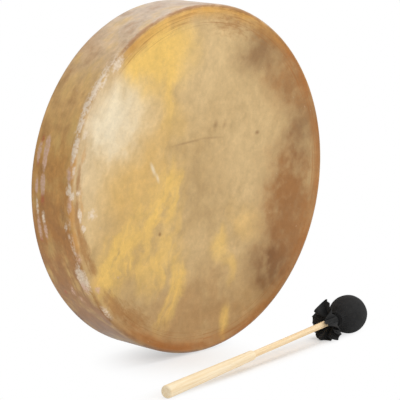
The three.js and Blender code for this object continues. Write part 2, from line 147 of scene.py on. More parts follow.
SOFT_BOXES = (  # name, place and width in metres, watts
    ("overhead_box", (0.2, -0.05, 1.8), 1.4, 16.0),
    ("front_box", (0.5, -2.1, 1.3), 1.6, 15.5),
)
LAMP_AIM = Vector((0, 0, 0.15))  # metres
for name, spot, size, watts in SOFT_BOXES:
    lamp = bpy.data.lights.new(name, "AREA")
    lamp.size = size
    lamp.energy = watts
    soft_box = bpy.data.objects.new(name, lamp)
    soft_box.location = spot
    aim = LAMP_AIM - Vector(spot)
    soft_box.rotation_euler = aim.to_track_quat("-Z", "Y").to_euler()
    scene.collection.objects.link(soft_box)


# Hoop: one ash board, steamed and bent round inside the skin.
# Its two ends are planed to long tapers and lapped in a scarf joint at the lower left.
def piece_from(name, points, faces):
    SHARP = math.radians(40)
    mesh = bpy.data.meshes.new(name)
    mesh.from_pydata(points, [], faces)
    shape = bmesh.new()
    shape.from_mesh(mesh)
    bmesh.ops.recalc_face_normals(shape, faces=shape.faces)
    shape.to_mesh(mesh)
    shape.free()
    mesh.shade_smooth()
    mesh.set_sharp_from_angle(angle=SHARP)
    made = bpy.data.objects.new(name, mesh)
    scene.collection.objects.link(made)
    return made


def loft(name, rings, loop=False):
    sides = len(rings[0])
    points = [p for ring in rings for p in ring]
    faces = []
    for i in range(len(rings) if loop else len(rings) - 1):
        near = i * sides
        far = ((i + 1) % len(rings)) * sides
        for j in range(sides):
            k = (j + 1) % sides
            faces.append((near + j, near + k, far + k, far + j))
    if not loop:
        faces.append(tuple(range(sides)))
        faces.append(tuple(range(len(points) - sides, len(points))))
    return piece_from(name, points, faces)


def start_material(name):
    material = bpy.data.materials.new(name)
    material.use_nodes = True
    material.node_tree.nodes.clear()
    node = partial(add_node, material.node_tree)
    place = node("TexCoord", {}, {}).outputs["Object"]
    return material, node, place


def end_material(node, inputs):
    shader = node("BsdfPrincipled", {}, inputs)
    node("OutputMaterial", {}, {"Surface": shader})


def drawn_grain(node, on, size, inputs, lean=0):
    drawn = node("Mapping", FITTED, {"Vector": on, "Rotation": (0, lean, 0), "Scale": size})
    return node("TexNoise", {}, {"Vector": drawn, "Scale": 1.0, **inputs})


def span(low, high):
    return {"From Min": low, "From Max": high}


def dress(made, material, body, cad_node):
    made.data.materials.append(material)
    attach(made, body)
    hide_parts(cad_node)


def on_drum(radius, angle, depth):
    return drum_middle + Vector((radius * math.cos(angle), depth, radius * math.sin(angle)))


def corner(radius, depth, size, start, steps):
    turns = [math.radians(start + 90 * i / steps) for i in range(steps + 1)]
    return [(radius + size * math.cos(t), depth + size * math.sin(t)) for t in turns]


FIT = 0.3 * MM  # between pieces that touch
SKIN = 1.2 * MM
HOOP_THICKNESS = 10 * MM
HOOP_ROUND = 3.5 * MM  # outer edges
HOOP_CHAMFER = 1.5 * MM  # inner edges
SCARF_LENGTH = 120 * MM
SCARF_MIDDLE = math.radians(-105)  # from the drum's right, counterclockwise as seen from the front
THIN_END = 0.03  # share of the thickness that is left at a tapered end
HOOP_STEPS = 240
CORNER_STEPS = 4

skin_low, skin_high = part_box("drum_head")
drum_middle = (skin_low + skin_high) / 2
rim_radius = (skin_high.x - skin_low.x) / 2
rim_half = (skin_high.y - skin_low.y) / 2
hoop_outer = rim_radius - SKIN - FIT
hoop_inner = hoop_outer - HOOP_THICKNESS
hoop_half = rim_half - SKIN - FIT


def board_section(inner, outer):
    share = (outer - inner) / HOOP_THICKNESS
    big = HOOP_ROUND * share
    small = HOOP_CHAMFER * share
    return [
        *corner(outer - big, hoop_half - big, big, 0, CORNER_STEPS),
        *corner(inner + small, hoop_half - small, small, 90, CORNER_STEPS),
        *corner(inner + small, small - hoop_half, small, 180, CORNER_STEPS),
        *corner(outer - big, big - hoop_half, big, 270, CORNER_STEPS),
    ]


scarf_span = SCARF_LENGTH / hoop_outer
board_rings = []
for i in range(HOOP_STEPS + 1):
    run = (2 * math.pi + scarf_span) * i / HOOP_STEPS
    grown = min(max(run / scarf_span, THIN_END), 1.0)
    cut = min(max((run - 2 * math.pi) / scarf_span, 0.0), 1.0 - THIN_END)
    joint_top = FIT / 2 if THIN_END < grown < 1 else 0
    joint_under = FIT / 2 if cut > 0 else 0
    inner = hoop_inner + cut * HOOP_THICKNESS + joint_under
    outer = hoop_inner + grown * HOOP_THICKNESS - joint_top
    angle = SCARF_MIDDLE - scarf_span / 2 + run
    board_rings.append([on_drum(r, angle, depth) for r, depth in board_section(inner, outer)])
bent_hoop = loft("bent_hoop", board_rings)

# Oiled ash, planed: long straight grain round the hoop, darker pores in short streaks, a dull surface.
COLOURS = {"data_type": "RGBA"}
GRAIN = (140 * MM, 3.0 * MM, 140 * MM)  # long round the hoop and narrow across the board
PORES = (12 * MM, 0.5 * MM, 12 * MM)

ash, node, place = start_material("oiled_ash")
grain, pores = [drawn_grain(node, place, size, {"Detail": 3.0}) for size in (GRAIN, PORES)]
pores = node("MapRange", {}, {"Value": pores, **span(0.58, 0.75)})
spread = node("MapRange", {}, {"Value": grain, **span(0.3, 0.7)})
tone = node("Mix", COLOURS, {"Factor": spread, "A": linear("#a67a47"), "B": linear("#dab683")})
tone = node("Mix", COLOURS, {"Factor": pores, "A": tone, "B": linear("#85602f")})
rough = node("MapRange", {}, {"Value": grain, "To Min": 0.5, "To Max": 0.7})
relief = node("Bump", {"invert": True}, {"Height": pores, "Strength": 0.6, "Distance": 0.15 * MM})
end_material(node, {"Base Color": tone, "Roughness": rough, "Normal": relief})
dress(bent_hoop, ash, "drum", "hoop")


# Nails: four small brass nails with domed heads, two at each end of the scarf joint.
# They are driven from the inside, and their heads lie on the hoop's inner face.
def full_turn(steps):
    return [2 * math.pi * i / steps for i in range(steps)]


def turned(name, profile, sides, wobble, seed):
    rings = []
    for x, radius in profile:
        ring = []
        for a in full_turn(sides):
            around = Vector((math.cos(a), math.sin(a), 0.0))
            uneven = wobble * noise.noise(around + Vector((seed, 0, x / WOBBLE_LENGTH)))
            ring.append(Vector((x, (radius + uneven) * around.x, (radius + uneven) * around.y)))
        rings.append(ring)
    return loft(name, rings)


NAIL_SHANK = 2 * MM
NAIL_LENGTH = 7 * MM
NAIL_HEAD = 5 * MM
NAIL_HEAD_HEIGHT = 1.2 * MM
NAIL_SPREAD = 30 * MM
NAIL_ANGLES = (-112.5, -97.5)
NAIL_SIDES = 32
DOME_STEPS = 8
NAIL_POINT = 0.1  # share of the shank's thickness
HAMMERED = 0.06 * MM
WOBBLE_LENGTH = 4 * MM

dome = ((NAIL_HEAD / 2) ** 2 + NAIL_HEAD_HEIGHT**2) / (2 * NAIL_HEAD_HEIGHT)
dome_half = math.asin(NAIL_HEAD / 2 / dome)
nail_top = hoop_inner - FIT - NAIL_HEAD_HEIGHT
nail_tip = hoop_inner + NAIL_LENGTH
nail_profile = []
for i in range(1, DOME_STEPS + 1):
    lean = dome_half * i / DOME_STEPS
    nail_profile.append((nail_top + dome * (1 - math.cos(lean)), dome * math.sin(lean)))
nail_profile += [
    (nail_top + NAIL_HEAD_HEIGHT, NAIL_HEAD / 2 - HAMMERED),
    (nail_top + NAIL_HEAD_HEIGHT, NAIL_SHANK / 2),
    (nail_tip - NAIL_SHANK, NAIL_SHANK / 2),
    (nail_tip, NAIL_POINT * NAIL_SHANK),
]

# Brass, drawn and hammered: warm yellow with brown tarnish in blots a few millimetres wide.
TARNISH = 1.6 * MM
brass, node, place = start_material("tarnished_brass")
blots = node("TexNoise", {}, {"Vector": place, "Scale": 1 / TARNISH, "Detail": 4.0})
tone = node("Mix", COLOURS, {"Factor": blots, "A": linear("#d8b25c"), "B": linear("#7d5c2a")})
rough = node("MapRange", {}, {"Value": blots, "To Min": 0.22, "To Max": 0.55})
end_material(node, {"Base Color": tone, "Metallic": 1.0, "Roughness": rough})

nail_places = [(angle, side) for angle in NAIL_ANGLES for side in (1, -1)]
for i, (angle, side) in enumerate(nail_places):
    nail = turned(f"hoop_nail_{i + 1}", nail_profile, NAIL_SIDES, HAMMERED, i)
    turn = Matrix.Rotation(-math.radians(angle), 4, "Y")
    depth = Vector((0, side * NAIL_SPREAD / 2, 0))
    nail.matrix_world = Matrix.Translation(drum_middle + depth) @ turn
    dress(nail, brass, "drum", f"scarf_nail_{i + 1}")


# Skin: one rawhide, soaked, drawn over the hoop's front and sides and turned over its back, to dry tight.
# It lies a little lower inside the hoop, and its back edge is scalloped by the laces that pull at its holes.
def smooth(share):
    share = min(max(share, 0.0), 1.0)
    return share * share * (3 - 2 * share)


FLANGE_WIDTH = 34 * MM
SKIN_ROUND = HOOP_ROUND + FIT + SKIN / 2  # to the middle of the skin
SKIN_SAG = 0.7 * MM
SAG_FROM = 183 * MM  # radius inside which the skin has sunk
SAG_TO = 190 * MM
SIDE_UNEVEN = 0.4 * MM
UNEVEN_SIZE = 45 * MM
RIM_BLEND = 8 * MM
FLOOR_CLEAR = (0.1, 0.25)  # radians from the lowest point: even up to here, then as far until it is uneven
SLACK = (0.7, 0.5)  # of the edge between its holes: mean and spread
HOLE_COUNT = 16
HOLE_INSET = 7 * MM
HOLE_CIRCLE = rim_radius - FLANGE_WIDTH + HOLE_INSET
HOLE_RADIUS = 2.1 * MM
HOLE_SIDES = 20
PUNCH_DEPTH = 8 * SKIN
SCALLOP = 4 * MM
PUCKER = 0.9 * MM
SKIN_SIDES = 320
FRONT_ROWS = 18
SAG_ROWS = 10
ROUND_ROWS = 8
SIDE_ROWS = 16
FLANGE_ROWS = 14
hole_pitch = 2 * math.pi / HOLE_COUNT


def stretch(start, end, steps):
    return [start + (end - start) * i / steps for i in range(1, steps + 1)]


middle_radius = rim_radius - SKIN / 2
middle_half = rim_half - SKIN / 2
flat_radius = middle_radius - SKIN_ROUND
flat_half = middle_half - SKIN_ROUND
flange_end = rim_radius - FLANGE_WIDTH + SKIN / 2
front_radii = stretch(0, SAG_FROM, FRONT_ROWS) + stretch(SAG_FROM, flat_radius, SAG_ROWS)
skin_line = [(r, -middle_half) for r in front_radii]
skin_line += corner(flat_radius, -flat_half, SKIN_ROUND, -90, ROUND_ROWS)[1:]
skin_line += [(middle_radius, y) for y in stretch(-flat_half, flat_half, SIDE_ROWS)]
skin_line += corner(flat_radius, flat_half, SKIN_ROUND, 0, ROUND_ROWS)[1:]
skin_line += [(r, middle_half) for r in stretch(flat_radius, flange_end, FLANGE_ROWS)]


def skin_at(angle):
    pull = (1 - math.cos((angle - hole_pitch / 2) * HOLE_COUNT)) / 2
    spot = Vector((math.cos(angle), math.sin(angle), 0)) * rim_radius / UNEVEN_SIZE
    slack = SLACK[0] + SLACK[1] * noise.noise(spot * 2)
    clear = smooth((abs(angle - 1.5 * math.pi) - FLOOR_CLEAR[0]) / FLOOR_CLEAR[1])
    line = []
    for r, y in skin_line:
        if y < 0:
            y += SKIN_SAG * (1 - smooth((r - SAG_FROM) / (SAG_TO - SAG_FROM)))
        on_rim = smooth((r - SAG_TO) / RIM_BLEND)
        r -= SIDE_UNEVEN * on_rim * clear * (0.5 + 0.5 * noise.noise(spot + Vector((0, 0, y / UNEVEN_SIZE))))
        if y > 0 and r < flat_radius:
            inward = (flat_radius - r) / (flat_radius - flange_end)
            r += SCALLOP * inward**2 * pull * slack
            y += PUCKER * smooth(2 * inward) * pull * slack
        line.append(Vector((r, y)))
    outer = []
    inner = []
    for i, p in enumerate(line):
        along = line[min(i + 1, len(line) - 1)] - line[max(i - 1, 0)]
        out = Vector((along.y, -along.x)).normalized() * SKIN / 2
        outer.append(p + out)
        inner.append(p - out)
    last = line[-1] + (line[-1] - line[-2]).normalized() * SKIN / 3
    return outer + [last] + inner[::-1]


skin_turns = full_turn(SKIN_SIDES)
skin_rings = []
for row in zip(*[skin_at(angle) for angle in skin_turns]):
    skin_rings.append([on_drum(p.x, angle, p.y) for p, angle in zip(row, skin_turns)])
skin = loft("skin", skin_rings)

punches = bmesh.new()
for k in range(HOLE_COUNT):
    spot = on_drum(HOLE_CIRCLE, (k + 0.5) * hole_pitch, rim_half)
    turn = Matrix.Rotation(math.pi / 2, 4, "X")
    bmesh.ops.create_cone(
        punches,
        cap_ends=True,
        segments=HOLE_SIDES,
        radius1=HOLE_RADIUS,
        radius2=HOLE_RADIUS,
        depth=PUNCH_DEPTH,
        matrix=Matrix.Translation(spot) @ turn,
    )
punch_mesh = bpy.data.meshes.new("punches")
punches.to_mesh(punch_mesh)
punches.free()
punch = bpy.data.objects.new("punches", punch_mesh)
scene.collection.objects.link(punch)
holes = skin.modifiers.new("holes", "BOOLEAN")
holes.operation = "DIFFERENCE"
holes.object = punch
bpy.context.view_layer.objects.active = skin
bpy.ops.object.modifier_apply(modifier="holes")
bpy.data.objects.remove(punch)

# Rawhide, scraped, dried and lightly varnished: clouds of straw, honey and umber where it is thin or thick,
# with ragged edges drawn out by the scraping, fine mottling, fibres and pores.
GREY_TAN = linear("#b4925e")
STRAW = linear("#ecc268")
HONEY = linear("#e2b664")
CREAM = linear("#f0e1c2")
PALE_TAN = linear("#d9ba86")
UMBER = linear("#9a6936")
DARK_UMBER = linear("#774a1e")
CLOUDS = (  # x and height from the middle, half width, half height, lean to the right, tone, strength
    (-120, 40, 126, 210, 10, HONEY, 0.65),
    (-178, 10, 34, 100, 0, CREAM, 0.3),
    (15, 140, 110, 90, 0, PALE_TAN, 0.8),
    (75, 25, 110, 120, 0, PALE_TAN, 0.5),
    (-4, -4, 76, 110, 10, GREY_TAN, 0.45),
    (0, -165, 230, 90, 0, UMBER, 0.5),
    (-134, 88, 84, 128, 36, CREAM, 0.75),
    (-140, 78, 44, 66, 20, CREAM, 0.55),
    (-70, 147, 84, 74, 10, STRAW, 1.0),
    (-62, 150, 76, 64, 0, STRAW, 1.0),
    (-50, 90, 24, 60, 6, STRAW, 0.5),
    (-160, -14, 36, 80, -10, PALE_TAN, 0.5),
    (25, -80, 22, 34, 10, STRAW, 0.6),
    (44, -104, 16, 26, -8, STRAW, 0.5),
    (33, -174, 18, 40, 8, STRAW, 0.7),
    (-116, -78, 70, 92, 15, GREY_TAN, 0.6),
    (-14, 118, 40, 84, 0, PALE_TAN, 0.5),
    (-14, -88, 32, 64, 0, PALE_TAN, 0.35),
    (62, -52, 44, 26, 30, HONEY, 0.4),
)
SHADES = (
    (138, -40, 68, 124, 8, UMBER, 1.0),
    (120, -80, 62, 64, 20, UMBER, 0.7),
    (116, -120, 68, 58, 40, DARK_UMBER, 0.85),
    (155, -75, 48, 88, 20, UMBER, 0.8),
    (166, 44, 44, 84, 0, DARK_UMBER, 0.65),
    (140, 104, 56, 70, -20, UMBER, 0.85),
    (96, 150, 74, 50, -30, DARK_UMBER, 0.7),
)
TONGUES = (
    (-136, -80, 38, 66, 25, STRAW, 0.85),
    (-112, -52, 28, 58, 22, STRAW, 0.7),
    (-86, -52, 24, 62, 24, STRAW, 0.6),
    (-62, -14, 42, 62, 24, STRAW, 0.75),
    (-60, -76, 30, 58, 35, STRAW, 0.6),
    (-92, -96, 32, 38, 20, STRAW, 0.5),
    (-48, -118, 26, 60, 22, STRAW, 0.85),
)
CLOUD_DEPTH = 60 * MM
CLOUD_SWIRL = 55 * MM  # size of the swirls that bend a cloud
CLOUD_SHIFT = 60 * MM
WISP = (20 * MM, 20 * MM, 46 * MM)  # width, depth and length of the wisps that fray a cloud's edge
WISP_SHARE = 1.4
SHADE_SHARE = 1.9
TONGUE = (13 * MM, 13 * MM, 54 * MM)  # and of those that tear the edges of the narrow tongues
TONGUE_SHARE = 3.2
WISP_LEAN = math.radians(24)
CLOUD_EDGE = (0.06, 0.95)
MOTTLE = 16 * MM
GRAIN_SPOT = 5 * MM
FIBRE = 1.6 * MM  # coarser than real fibres, which wouldn't show
PORE = 2.2 * MM


def round_patch(node, on, middle, size, lean=0):
    turn = (0, math.radians(lean), 0)
    fitted = node("Mapping", FITTED, {"Vector": on, "Location": middle, "Rotation": turn, "Scale": size})
    return node("TexGradient", {"gradient_type": "SPHERICAL"}, {"Vector": fitted}).outputs["Fac"]


TIMES = {"operation": "MULTIPLY"}
TIMES_PLUS = {"operation": "MULTIPLY_ADD"}
rawhide, node, place = start_material("varnished_rawhide")
spot = node("VectorMath", {"operation": "SUBTRACT"}, {0: place, 1: drum_middle})
parts = node("SeparateXYZ", {}, {0: spot})
swirl = node("TexNoise", {}, {"Vector": spot, "Scale": 1 / CLOUD_SWIRL, "Detail": 4.0})
swirl = node("VectorMath", {"operation": "SUBTRACT"}, {0: swirl.outputs["Color"], 1: (0.5, 0.5, 0.5)})
swirl = node("VectorMath", {"operation": "SCALE"}, {0: swirl, "Scale": CLOUD_SHIFT})
swirled = node("VectorMath", {"operation": "ADD"}, {0: spot, 1: swirl})
fraying = {"Detail": 6.0, "Roughness": 0.55}
wisps, tears = [drawn_grain(node, swirled, size, fraying, WISP_LEAN) for size in (WISP, TONGUE)]
mottle = node("TexNoise", {}, {"Vector": spot, "Scale": 1 / MOTTLE, "Detail": 6.0})
tone = node("Mix", COLOURS, {"Factor": mottle, "A": GREY_TAN, "B": PALE_TAN})
for rows, pattern, most in (
    (CLOUDS, wisps, WISP_SHARE),
    (SHADES, mottle, SHADE_SHARE),
    (TONGUES, tears, TONGUE_SHARE),
):
    frayed = node("Math", TIMES_PLUS, {0: pattern, 1: most, 2: 1 - most / 2})
    for x, z, wide, tall, lean, colour, amount in rows:
        size = (wide * MM, CLOUD_DEPTH, tall * MM)
        cloud = round_patch(node, swirled, (x * MM, -rim_half, z * MM), size, lean)
        cloud = node("Math", TIMES, {0: cloud, 1: frayed})
        share = node("MapRange", SOFTLY, {"Value": cloud, **span(*CLOUD_EDGE), "To Max": amount})
        tone = node("Mix", COLOURS, {"Factor": share, "A": tone, "B": colour})

# Marks of the living hide: a healed crease, a few small dark spots and one pale scratch.
MARKS = (  # x and height from the middle, half width, half height, lean to the right, tone, strength
    (-24, 46, 30, 2.0, -4, DARK_UMBER, 0.35),
    (14, 47, 24, 2.0, 4, DARK_UMBER, 0.25),
    (20, 62, 5, 9, 15, DARK_UMBER, 0.4),
    (34, 60, 4, 8, 20, DARK_UMBER, 0.35),
    (88, 45, 5, 3.5, 0, DARK_UMBER, 0.7),
    (-68, -53, 3.2, 3.2, 0, DARK_UMBER, 0.8),
    (-78, 22, 3.5, 11, -25, CREAM, 0.8),
    (-71, 11, 3, 8, -20, CREAM, 0.6),
)
for x, z, wide, tall, lean, colour, amount in MARKS:
    size = (wide * MM, CLOUD_DEPTH, tall * MM)
    mark = round_patch(node, spot, (x * MM, -rim_half, z * MM), size, lean)
    share = node("Math", TIMES, {0: mark, 1: amount})
    tone = node("Mix", COLOURS, {"Factor": share, "A": tone, "B": colour})

# Edge of the head: orange-brown where the hide lies on the hoop, with fine creases that run round it.
# Its pattern lies on the rim unrolled: distance round it, distance past its front corner, and radius.
ORANGE = linear("#a4662a")
AMBER = linear("#e0aa56")
BAND = (-22 * MM, -6 * MM)  # from the front corner, where the band begins and where it is full
BAND_SHARE = (0.4, 0.95)
AMBER_FROM = (130 * MM, 190 * MM)  # above the middle, the band turns from orange to amber
BAND_PATCH = (50 * MM, 14 * MM, 0)  # round the rim and across it, the same at every radius
CREASE = (75 * MM, 1.5 * MM, 0)
CREASED = (-27.5 * MM, -19.8 * MM)  # where the creases begin and where they are full
PALE_SIDE = (-142 * MM, -112 * MM)  # the band fades towards the left

flat_spot = node("VectorMath", TIMES, {0: spot, 1: (1, 0, 1)})
radius = node("VectorMath", {"operation": "LENGTH"}, {0: flat_spot}).outputs["Value"]
round_rim = node("Math", {"operation": "ARCTAN2"}, {0: parts.outputs["X"], 1: parts.outputs["Z"]})
round_rim = node("Math", TIMES, {0: round_rim, 1: rim_radius})
past_corner = node("Math", {"operation": "ADD"}, {0: radius, 1: parts.outputs["Y"]})
past_corner = node("Math", {"operation": "SUBTRACT"}, {0: past_corner, 1: rim_radius - rim_half})
on_rim = node("CombineXYZ", {}, {0: round_rim, 1: past_corner, 2: radius})
patches, creases = [drawn_grain(node, on_rim, size, {"Detail": 5.0}) for size in (BAND_PATCH, CREASE)]
band = node("MapRange", SOFTLY, {"Value": past_corner, **span(*BAND)})
patchy = node(
    "MapRange", {},
    {"Value": patches, **span(0.35, 0.65), "To Min": BAND_SHARE[0], "To Max": BAND_SHARE[1]},
)
band = node("Math", TIMES, {0: band, 1: patchy})
kept = node("MapRange", {}, {"Value": parts.outputs["X"], **span(*PALE_SIDE), "To Min": 0.15})
band = node("Math", TIMES, {0: band, 1: kept})
up = node("MapRange", {}, {"Value": parts.outputs["Z"], **span(*AMBER_FROM)})
band_tone = node("Mix", COLOURS, {"Factor": up, "A": ORANGE, "B": AMBER})
tone = node("Mix", COLOURS, {"Factor": band, "A": tone, "B": band_tone})
lines = node("MapRange", {}, {"Value": creases, **span(0.54, 0.64)})
near_edge = node("MapRange", SOFTLY, {"Value": past_corner, **span(*CREASED), "To Max": 0.5})
share = node("Math", TIMES, {0: lines, 1: near_edge})
share = node("Math", TIMES, {0: share, 1: kept})
tone = node("Mix", COLOURS, {"Factor": share, "A": tone, "B": ORANGE})

# Sides of the skin: a painted highlight makes the top pale and greyish and painted shade makes it browner
# lower down, with blots of gold and umber and short streaks.
SIDE_TONES_AND_SHADING = ("#94745a", "#a67646", "#b67e3e", "#c6924e", "#cda66c", "#c4b2a0")  # from the floor to the top
GOLD = linear("#d6b06a")
BLOT = (36 * MM, 26 * MM, 0)
DRIFT = (120 * MM, 44 * MM, 0)
STREAK = (15 * MM, 6 * MM, 0)
SIDE_BLEND = (5 * MM, 0.5 * MM)  # inside the rim's radius, from head to side
SHADED_BACK_EDGE = 6 * MM  # painted shade where the skin rounds away to the back
# Painted light by height: the ramp is a painted highlight at the top of the side and painted shade low down.
height = node("MapRange", {}, {"Value": parts.outputs["Z"], **span(-rim_radius, rim_radius)})
ramp = node("ValToRGB", {}, {"Fac": height})
while len(ramp.color_ramp.elements) < len(SIDE_TONES_AND_SHADING):
    ramp.color_ramp.elements.new(0.5)
for i, code in enumerate(SIDE_TONES_AND_SHADING):
    ramp.color_ramp.elements[i].position = i / (len(SIDE_TONES_AND_SHADING) - 1)
    ramp.color_ramp.elements[i].color = linear(code)
rich = {"Detail": 8.0, "Roughness": 0.6}
blots, drifts, streaks = [drawn_grain(node, on_rim, size, rich) for size in (BLOT, DRIFT, STREAK)]
side_tone_and_shading = ramp
for pattern, start, end, most, colour in (
    (drifts, 0.5, 0.3, 0.45, UMBER),
    (blots, 0.5, 0.3, 0.6, UMBER),
    (blots, 0.5, 0.7, 0.7, GOLD),
):
    share = node("MapRange", {}, {"Value": pattern, **span(start, end), "To Max": most})
    side_tone_and_shading = node("Mix", COLOURS, {"Factor": share, "A": side_tone_and_shading, "B": colour})
shade = node("MapRange", {}, {"Value": streaks, **span(0.3, 0.7), "To Min": 0.88, "To Max": 1.12})
side_tone_and_shading = node("VectorMath", {"operation": "SCALE"}, {0: side_tone_and_shading, "Scale": shade})
# Painted shade: the side darkens towards its back edge, where the skin rounds away.
share = node(
    "MapRange", SOFTLY,
    {"Value": past_corner, **span(2 * rim_half - SHADED_BACK_EDGE, 2 * rim_half), "To Max": 0.6},
)
side_tone_and_shading = node("Mix", COLOURS, {"Factor": share, "A": side_tone_and_shading, "B": DARK_UMBER})
on_side = node(
    "MapRange", SOFTLY, {"Value": radius, **span(rim_radius - SIDE_BLEND[0], rim_radius - SIDE_BLEND[1])}
)
tone = node("Mix", COLOURS, {"Factor": on_side, "A": tone, "B": side_tone_and_shading})

# Wear and painted light: the left front corner is rubbed pale in ragged patches and carries painted
# highlights; pale and reddish streaks lie near the back.
WORN_AND_HIGHLIGHT = linear("#e8d4ba")
SCRAPED = linear("#d8b298")
REDDISH = linear("#b4683c")
RUSSET = linear("#a4733c")
TAN_AND_HIGHLIGHT = linear("#d09a58")
STAINS_AND_PAINTED_LIGHT = (  # degrees left of the top, distance past the corner, half length, half width, tone, strength
    # Painted shade: a thin dark line along the front corner over the top and right, where the rounded corner
    # turns away.
    (30, 0, 70, 6, UMBER, 1.5),
    (8, -1, 70, 6, UMBER, 1.4),
    (-16, -2, 76, 6, UMBER, 1.5),
    (-44, -3, 80, 5, UMBER, 1.2),
    (-80, -4, 90, 5, UMBER, 1.0),
    (-14, -20, 70, 26, RUSSET, 0.9),
    (-30, -16, 50, 22, RUSSET, 0.8),
    (-90, -24, 40, 14, UMBER, 0.8),
    # Painted shade: the back of the side darker at the upper left.
    (50, 56, 44, 14, UMBER, 0.6),
    (75, -13, 22, 6, TAN_AND_HIGHLIGHT, 1.0),
    (92, -15, 36, 6, TAN_AND_HIGHLIGHT, 0.9),
    (49.5, 24, 20, 11, GOLD, 0.9),
    (57, 38, 18, 10, GOLD, 0.7),
    (69, 12, 26, 14, GOLD, 1.4),
    (73, 30, 26, 12, GOLD, 0.9),
    (117, 59, 24, 11, GOLD, 1.1),
    (88, 11, 40, 8, UMBER, 0.6),
    (95, 13, 20, 11, UMBER, 0.9),
    (131, 50, 24, 16, UMBER, 0.9),
    (114, 24, 18, 11, GOLD, 0.9),
    (123, 6, 30, 12, GOLD, 1.2),
    (119.5, 19, 26, 17, GOLD, 1.0),
    (83, -10, 36, 7, RUSSET, 1.2),
    (96, -8, 44, 8, RUSSET, 1.5),
    (106, -11, 40, 12, RUSSET, 1.35),
    # These three rows are a painted orange highlight along the rounded front corner at the left.
    (79, 0, 24, 8, TAN_AND_HIGHLIGHT, 1.8),
    (93, -1, 24, 8, TAN_AND_HIGHLIGHT, 1.6),
    (102, -2, 26, 8, TAN_AND_HIGHLIGHT, 1.5),
    (114, -15, 24, 9, RUSSET, 1.15),
    (133, -15, 50, 14, RUSSET, 1.4),
    (143, -22, 50, 20, RUSSET, 1.2),
    # Painted shade: the back edge at the lower left, where it nearly touches the floor.
    (139, 62, 60, 9, DARK_UMBER, 1.2),
)
WEAR_AND_HIGHLIGHTS = (
    # The first two rows are partly a painted highlight, a long pale line where the rounded front corner
    # catches the light, over real rubbing.
    (55, 3, 120, 11, WORN_AND_HIGHLIGHT, 0.9),
    (108, 4, 120, 8, WORN_AND_HIGHLIGHT, 0.6),
    (71.5, 56, 8, 5, REDDISH, 1.2),
    (79.3, 56, 7, 5, REDDISH, 1.0),
    (90.5, 46, 18, 5, REDDISH, 1.2),
    (104, 55, 6, 4, REDDISH, 1.1),
    (123.5, 48, 8, 5, REDDISH, 1.1),
    (42, -6, 20, 9, WORN_AND_HIGHLIGHT, 1.3),
    (50, -3, 18, 6, WORN_AND_HIGHLIGHT, 1.1),
    (52, 2, 26, 7, WORN_AND_HIGHLIGHT, 1.4),
    (60, 4, 20, 9, WORN_AND_HIGHLIGHT, 1.2),
    (65.5, 3, 14, 7, WORN_AND_HIGHLIGHT, 1.4),
    (68, -8, 11, 8, WORN_AND_HIGHLIGHT, 0.9),
    (73, 1, 26, 7, WORN_AND_HIGHLIGHT, 1.7),
    (81.5, 4, 16, 7, SCRAPED, 1.3),
    (86, 3, 10, 7, WORN_AND_HIGHLIGHT, 1.5),
    (80, -2, 12, 5, WORN_AND_HIGHLIGHT, 1.2),
    (88, -2, 9, 6, WORN_AND_HIGHLIGHT, 1.4),
    (87, -11, 6, 5, WORN_AND_HIGHLIGHT, 1.1),
    (91, 2, 14, 6, SCRAPED, 1.4),
    (94.5, -12.5, 13, 4.5, WORN_AND_HIGHLIGHT, 1.5),
    (95.5, -30, 15, 12, WORN_AND_HIGHLIGHT, 0.9),
    (98, 10, 9, 5, WORN_AND_HIGHLIGHT, 1.1),
    (99.5, -16, 7, 5, WORN_AND_HIGHLIGHT, 1.4),
    (100.5, 7, 6, 4, WORN_AND_HIGHLIGHT, 1.1),
    (108.5, -1, 12, 7, SCRAPED, 1.1),
    (116, 4, 24, 13, WORN_AND_HIGHLIGHT, 1.8),
    (119.5, 7, 15, 8, SCRAPED, 1.2),
    (122, -9, 11, 7, SCRAPED, 0.9),
    (131, -2, 20, 7, WORN_AND_HIGHLIGHT, 1.0),
    (76, 57, 18, 5, SCRAPED, 1.5),
    (79, 46, 14, 5, SCRAPED, 1.8),
    (74.5, 46, 20, 6, SCRAPED, 2.2),
    (86.5, 56, 18, 4, SCRAPED, 1.4),
    (85.7, 46, 16, 6, SCRAPED, 2.0),
    (93, 55, 17, 4, WORN_AND_HIGHLIGHT, 1.2),
    (96.5, 46, 15, 4, WORN_AND_HIGHLIGHT, 1.4),
    (100, 55, 20, 5, SCRAPED, 1.5),
    (100.3, 45, 14, 5, SCRAPED, 1.5),
    (122, 33, 15, 7, SCRAPED, 0.9),
    (125.5, 26, 11, 7, SCRAPED, 0.8),
)
STAINS_AND_LIGHT_COVER = 0.75
FLANGE_CLEAR = 14 * MM  # keeps wear on the side off the turned-over edge behind it
RUB = (11 * MM, 4 * MM, 0)
RUB_RAGGED = 1.6
WEAR_EDGE = (0.25, 1.1)
BREAK_UP = (1.5, -0.2)  # how the specks break up a worn patch: share and shift
SPECKLE = 2.8 * MM
specks = node("TexNoise", {}, {"Vector": spot, "Scale": 1 / SPECKLE, "Detail": 5.0})
specks = node("MapRange", {}, {"Value": specks, **span(0.32, 0.64), "To Min": 0.6, "To Max": 1.0})
flecks = drawn_grain(node, on_rim, RUB, {"Detail": 6.0, "Roughness": 0.65})
flecks = node("Math", TIMES_PLUS, {0: flecks, 1: RUB_RAGGED, 2: -RUB_RAGGED / 2})
broken = node("Math", TIMES_PLUS, {0: specks, 1: BREAK_UP[0], 2: BREAK_UP[1]})
